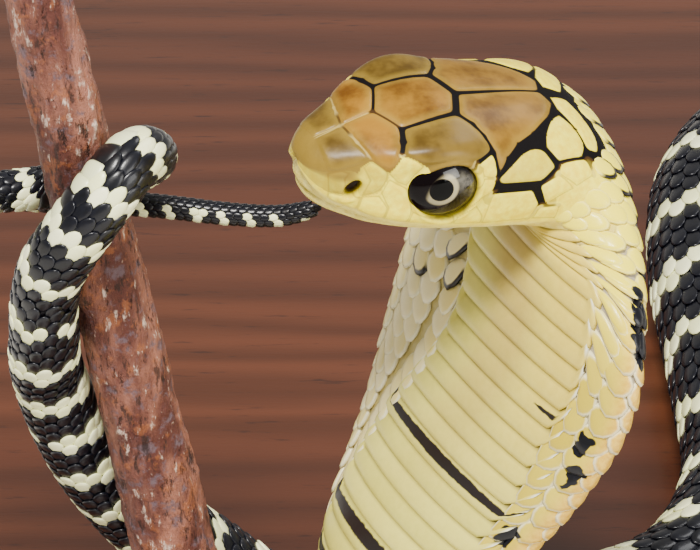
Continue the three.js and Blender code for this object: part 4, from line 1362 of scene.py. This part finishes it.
def wood_finish():
    f = Finish("base_wood")
    stretched = f.stretched(0.12, 1, 1)
    warp = f.noise(0.03, 3, 0.5, stretched)
    rings = f.add("ShaderNodeTexWave", {"bands_direction": "Y"}, Vector=stretched, Scale=60.0,
                  Distortion=7.0, Detail=4.0, Detail_Scale=1.5)
    ring = Number(f, rings.outputs[1])
    pores = f.noise(1.5, 4, 0.7, stretched)
    colour = f.layers("47230f", ("5c301a", ring * 0.8), ("35170b", warp.step(0.42, 0.62) * 0.5),
                      ("241009", pores.step(0.42, 0.3) * 0.7))
    return f.finish(Base_Color=colour, Roughness=0.34 + pores * 0.12,
                    Normal=f.bump(pores, 0.03), Specular_IOR_Level=0.45, Coat_Weight=0.25,
                    Coat_Roughness=0.2)


def make_rod():
    """The steel rod, its two ends a little rounded."""
    low, high = (np.array(corner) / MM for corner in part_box("stand_rod"))
    middle, size = (low + high) / 2, high - low
    bm = bmesh.new()
    bmesh.ops.create_cone(bm, cap_ends=True, segments=ROD_SIDES, radius1=size[0] / 2,
                          radius2=size[0] / 2, depth=size[2])
    rims = [edge for edge in bm.edges if height_of(edge) < LEVEL]
    round_edges(bm, rims, ROD_RIM, ROD_RIM_STEPS)
    bmesh.ops.translate(bm, vec=middle, verts=bm.verts)
    mesh = stand_mesh(bm, "rod")
    piece("stand_rod_fine", mesh, steel_finish(), "rod_steel", "stand_rod")


def steel_finish():
    f = Finish("rod_steel")
    brushed = f.noise(0.9, 3, 0.6, f.stretched(1, 1, 12))
    colour = f.mix("8d8f92", "b9bbbd", brushed)
    return f.finish(Base_Color=colour, Roughness=0.28 + brushed * 0.14, Metallic=1.0,
                    Normal=f.bump(brushed, 0.01))


# Room


def aim(thing, spot, direction):
    """Puts a lamp or camera at a spot in millimetres, looking in a direction."""
    thing.location = spot * MM
    thing.rotation_euler = direction.to_track_quat("-Z", "Y").to_euler()


def make_room():
    """A floor, an even grey light all round, and the lamps."""
    bm = bmesh.new()
    bmesh.ops.create_grid(bm, x_segments=2, y_segments=2, size=3)
    floor = new_object("floor", mesh_from(bm, "floor"))
    f = Finish("floor")
    grain = f.noise(0.02, 2, 0.5)
    floor.data.materials.append(f.finish(
        Base_Color=f.mix("d9d6cf", "e2dfd8", grain), Roughness=0.85))
    world = bpy.data.worlds.new("studio")
    world.use_nodes = True
    background = world.node_tree.nodes["Background"]
    background.inputs[0].default_value = ROOM_COLOUR
    background.inputs[1].default_value = ROOM_LIGHT
    bpy.context.scene.world = world
    for name, (spot, size, power, tone) in LAMPS.items():
        light = bpy.data.lights.new(name, "AREA")
        light.size = size * MM
        light.energy = power
        light.color = tone
        aim(new_object(name, light), Vector(spot), CAMERA_TARGET - Vector(spot))


def make_camera():
    lens = bpy.data.cameras.new("camera")
    lens.sensor_width = SENSOR
    lens.lens = SENSOR * CAMERA_DISTANCE / SEEN_WIDTH
    lens.clip_start = CLIP_START
    camera = new_object("camera", lens)
    fall = math.radians(CAMERA_ELEVATION)
    looks = Vector((0, math.cos(fall), -math.sin(fall)))
    aim(camera, CAMERA_TARGET - looks * CAMERA_DISTANCE, looks)
    bpy.context.scene.camera = camera


ROWS_AT = rows_down_the_body()
EYE_FINISH = eye_finish()
SCALE_FINISH = scale_finish()
SCUTE_FINISH = scute_finish()
make_camera()
make_room()
make_skin()
make_scales("scales_hood", HOOD_COAT_FROM, HOOD_COAT_TO)
for number in range(BODY_COATS):
    long = (TAIL_COAT_FROM - HOOD_COAT_TO) / BODY_COATS
    make_scales(f"scales_body_{number + 1}", HOOD_COAT_TO + long * number,
                HOOD_COAT_TO + long * (number + 1))
make_scales("scales_tail", TAIL_COAT_FROM, LENGTH)
make_scutes("scutes_neck", FIRST_SCUTE, HOOD_COAT_TO, across=44)
make_scutes("scutes_body", HOOD_COAT_TO, VENT, across=24)
make_scutes("scutes_tail", VENT, LENGTH, across=10, pairs=True)
make_eye(1, "left")
make_eye(-1, "right")
make_perch()
make_base()
make_rod()
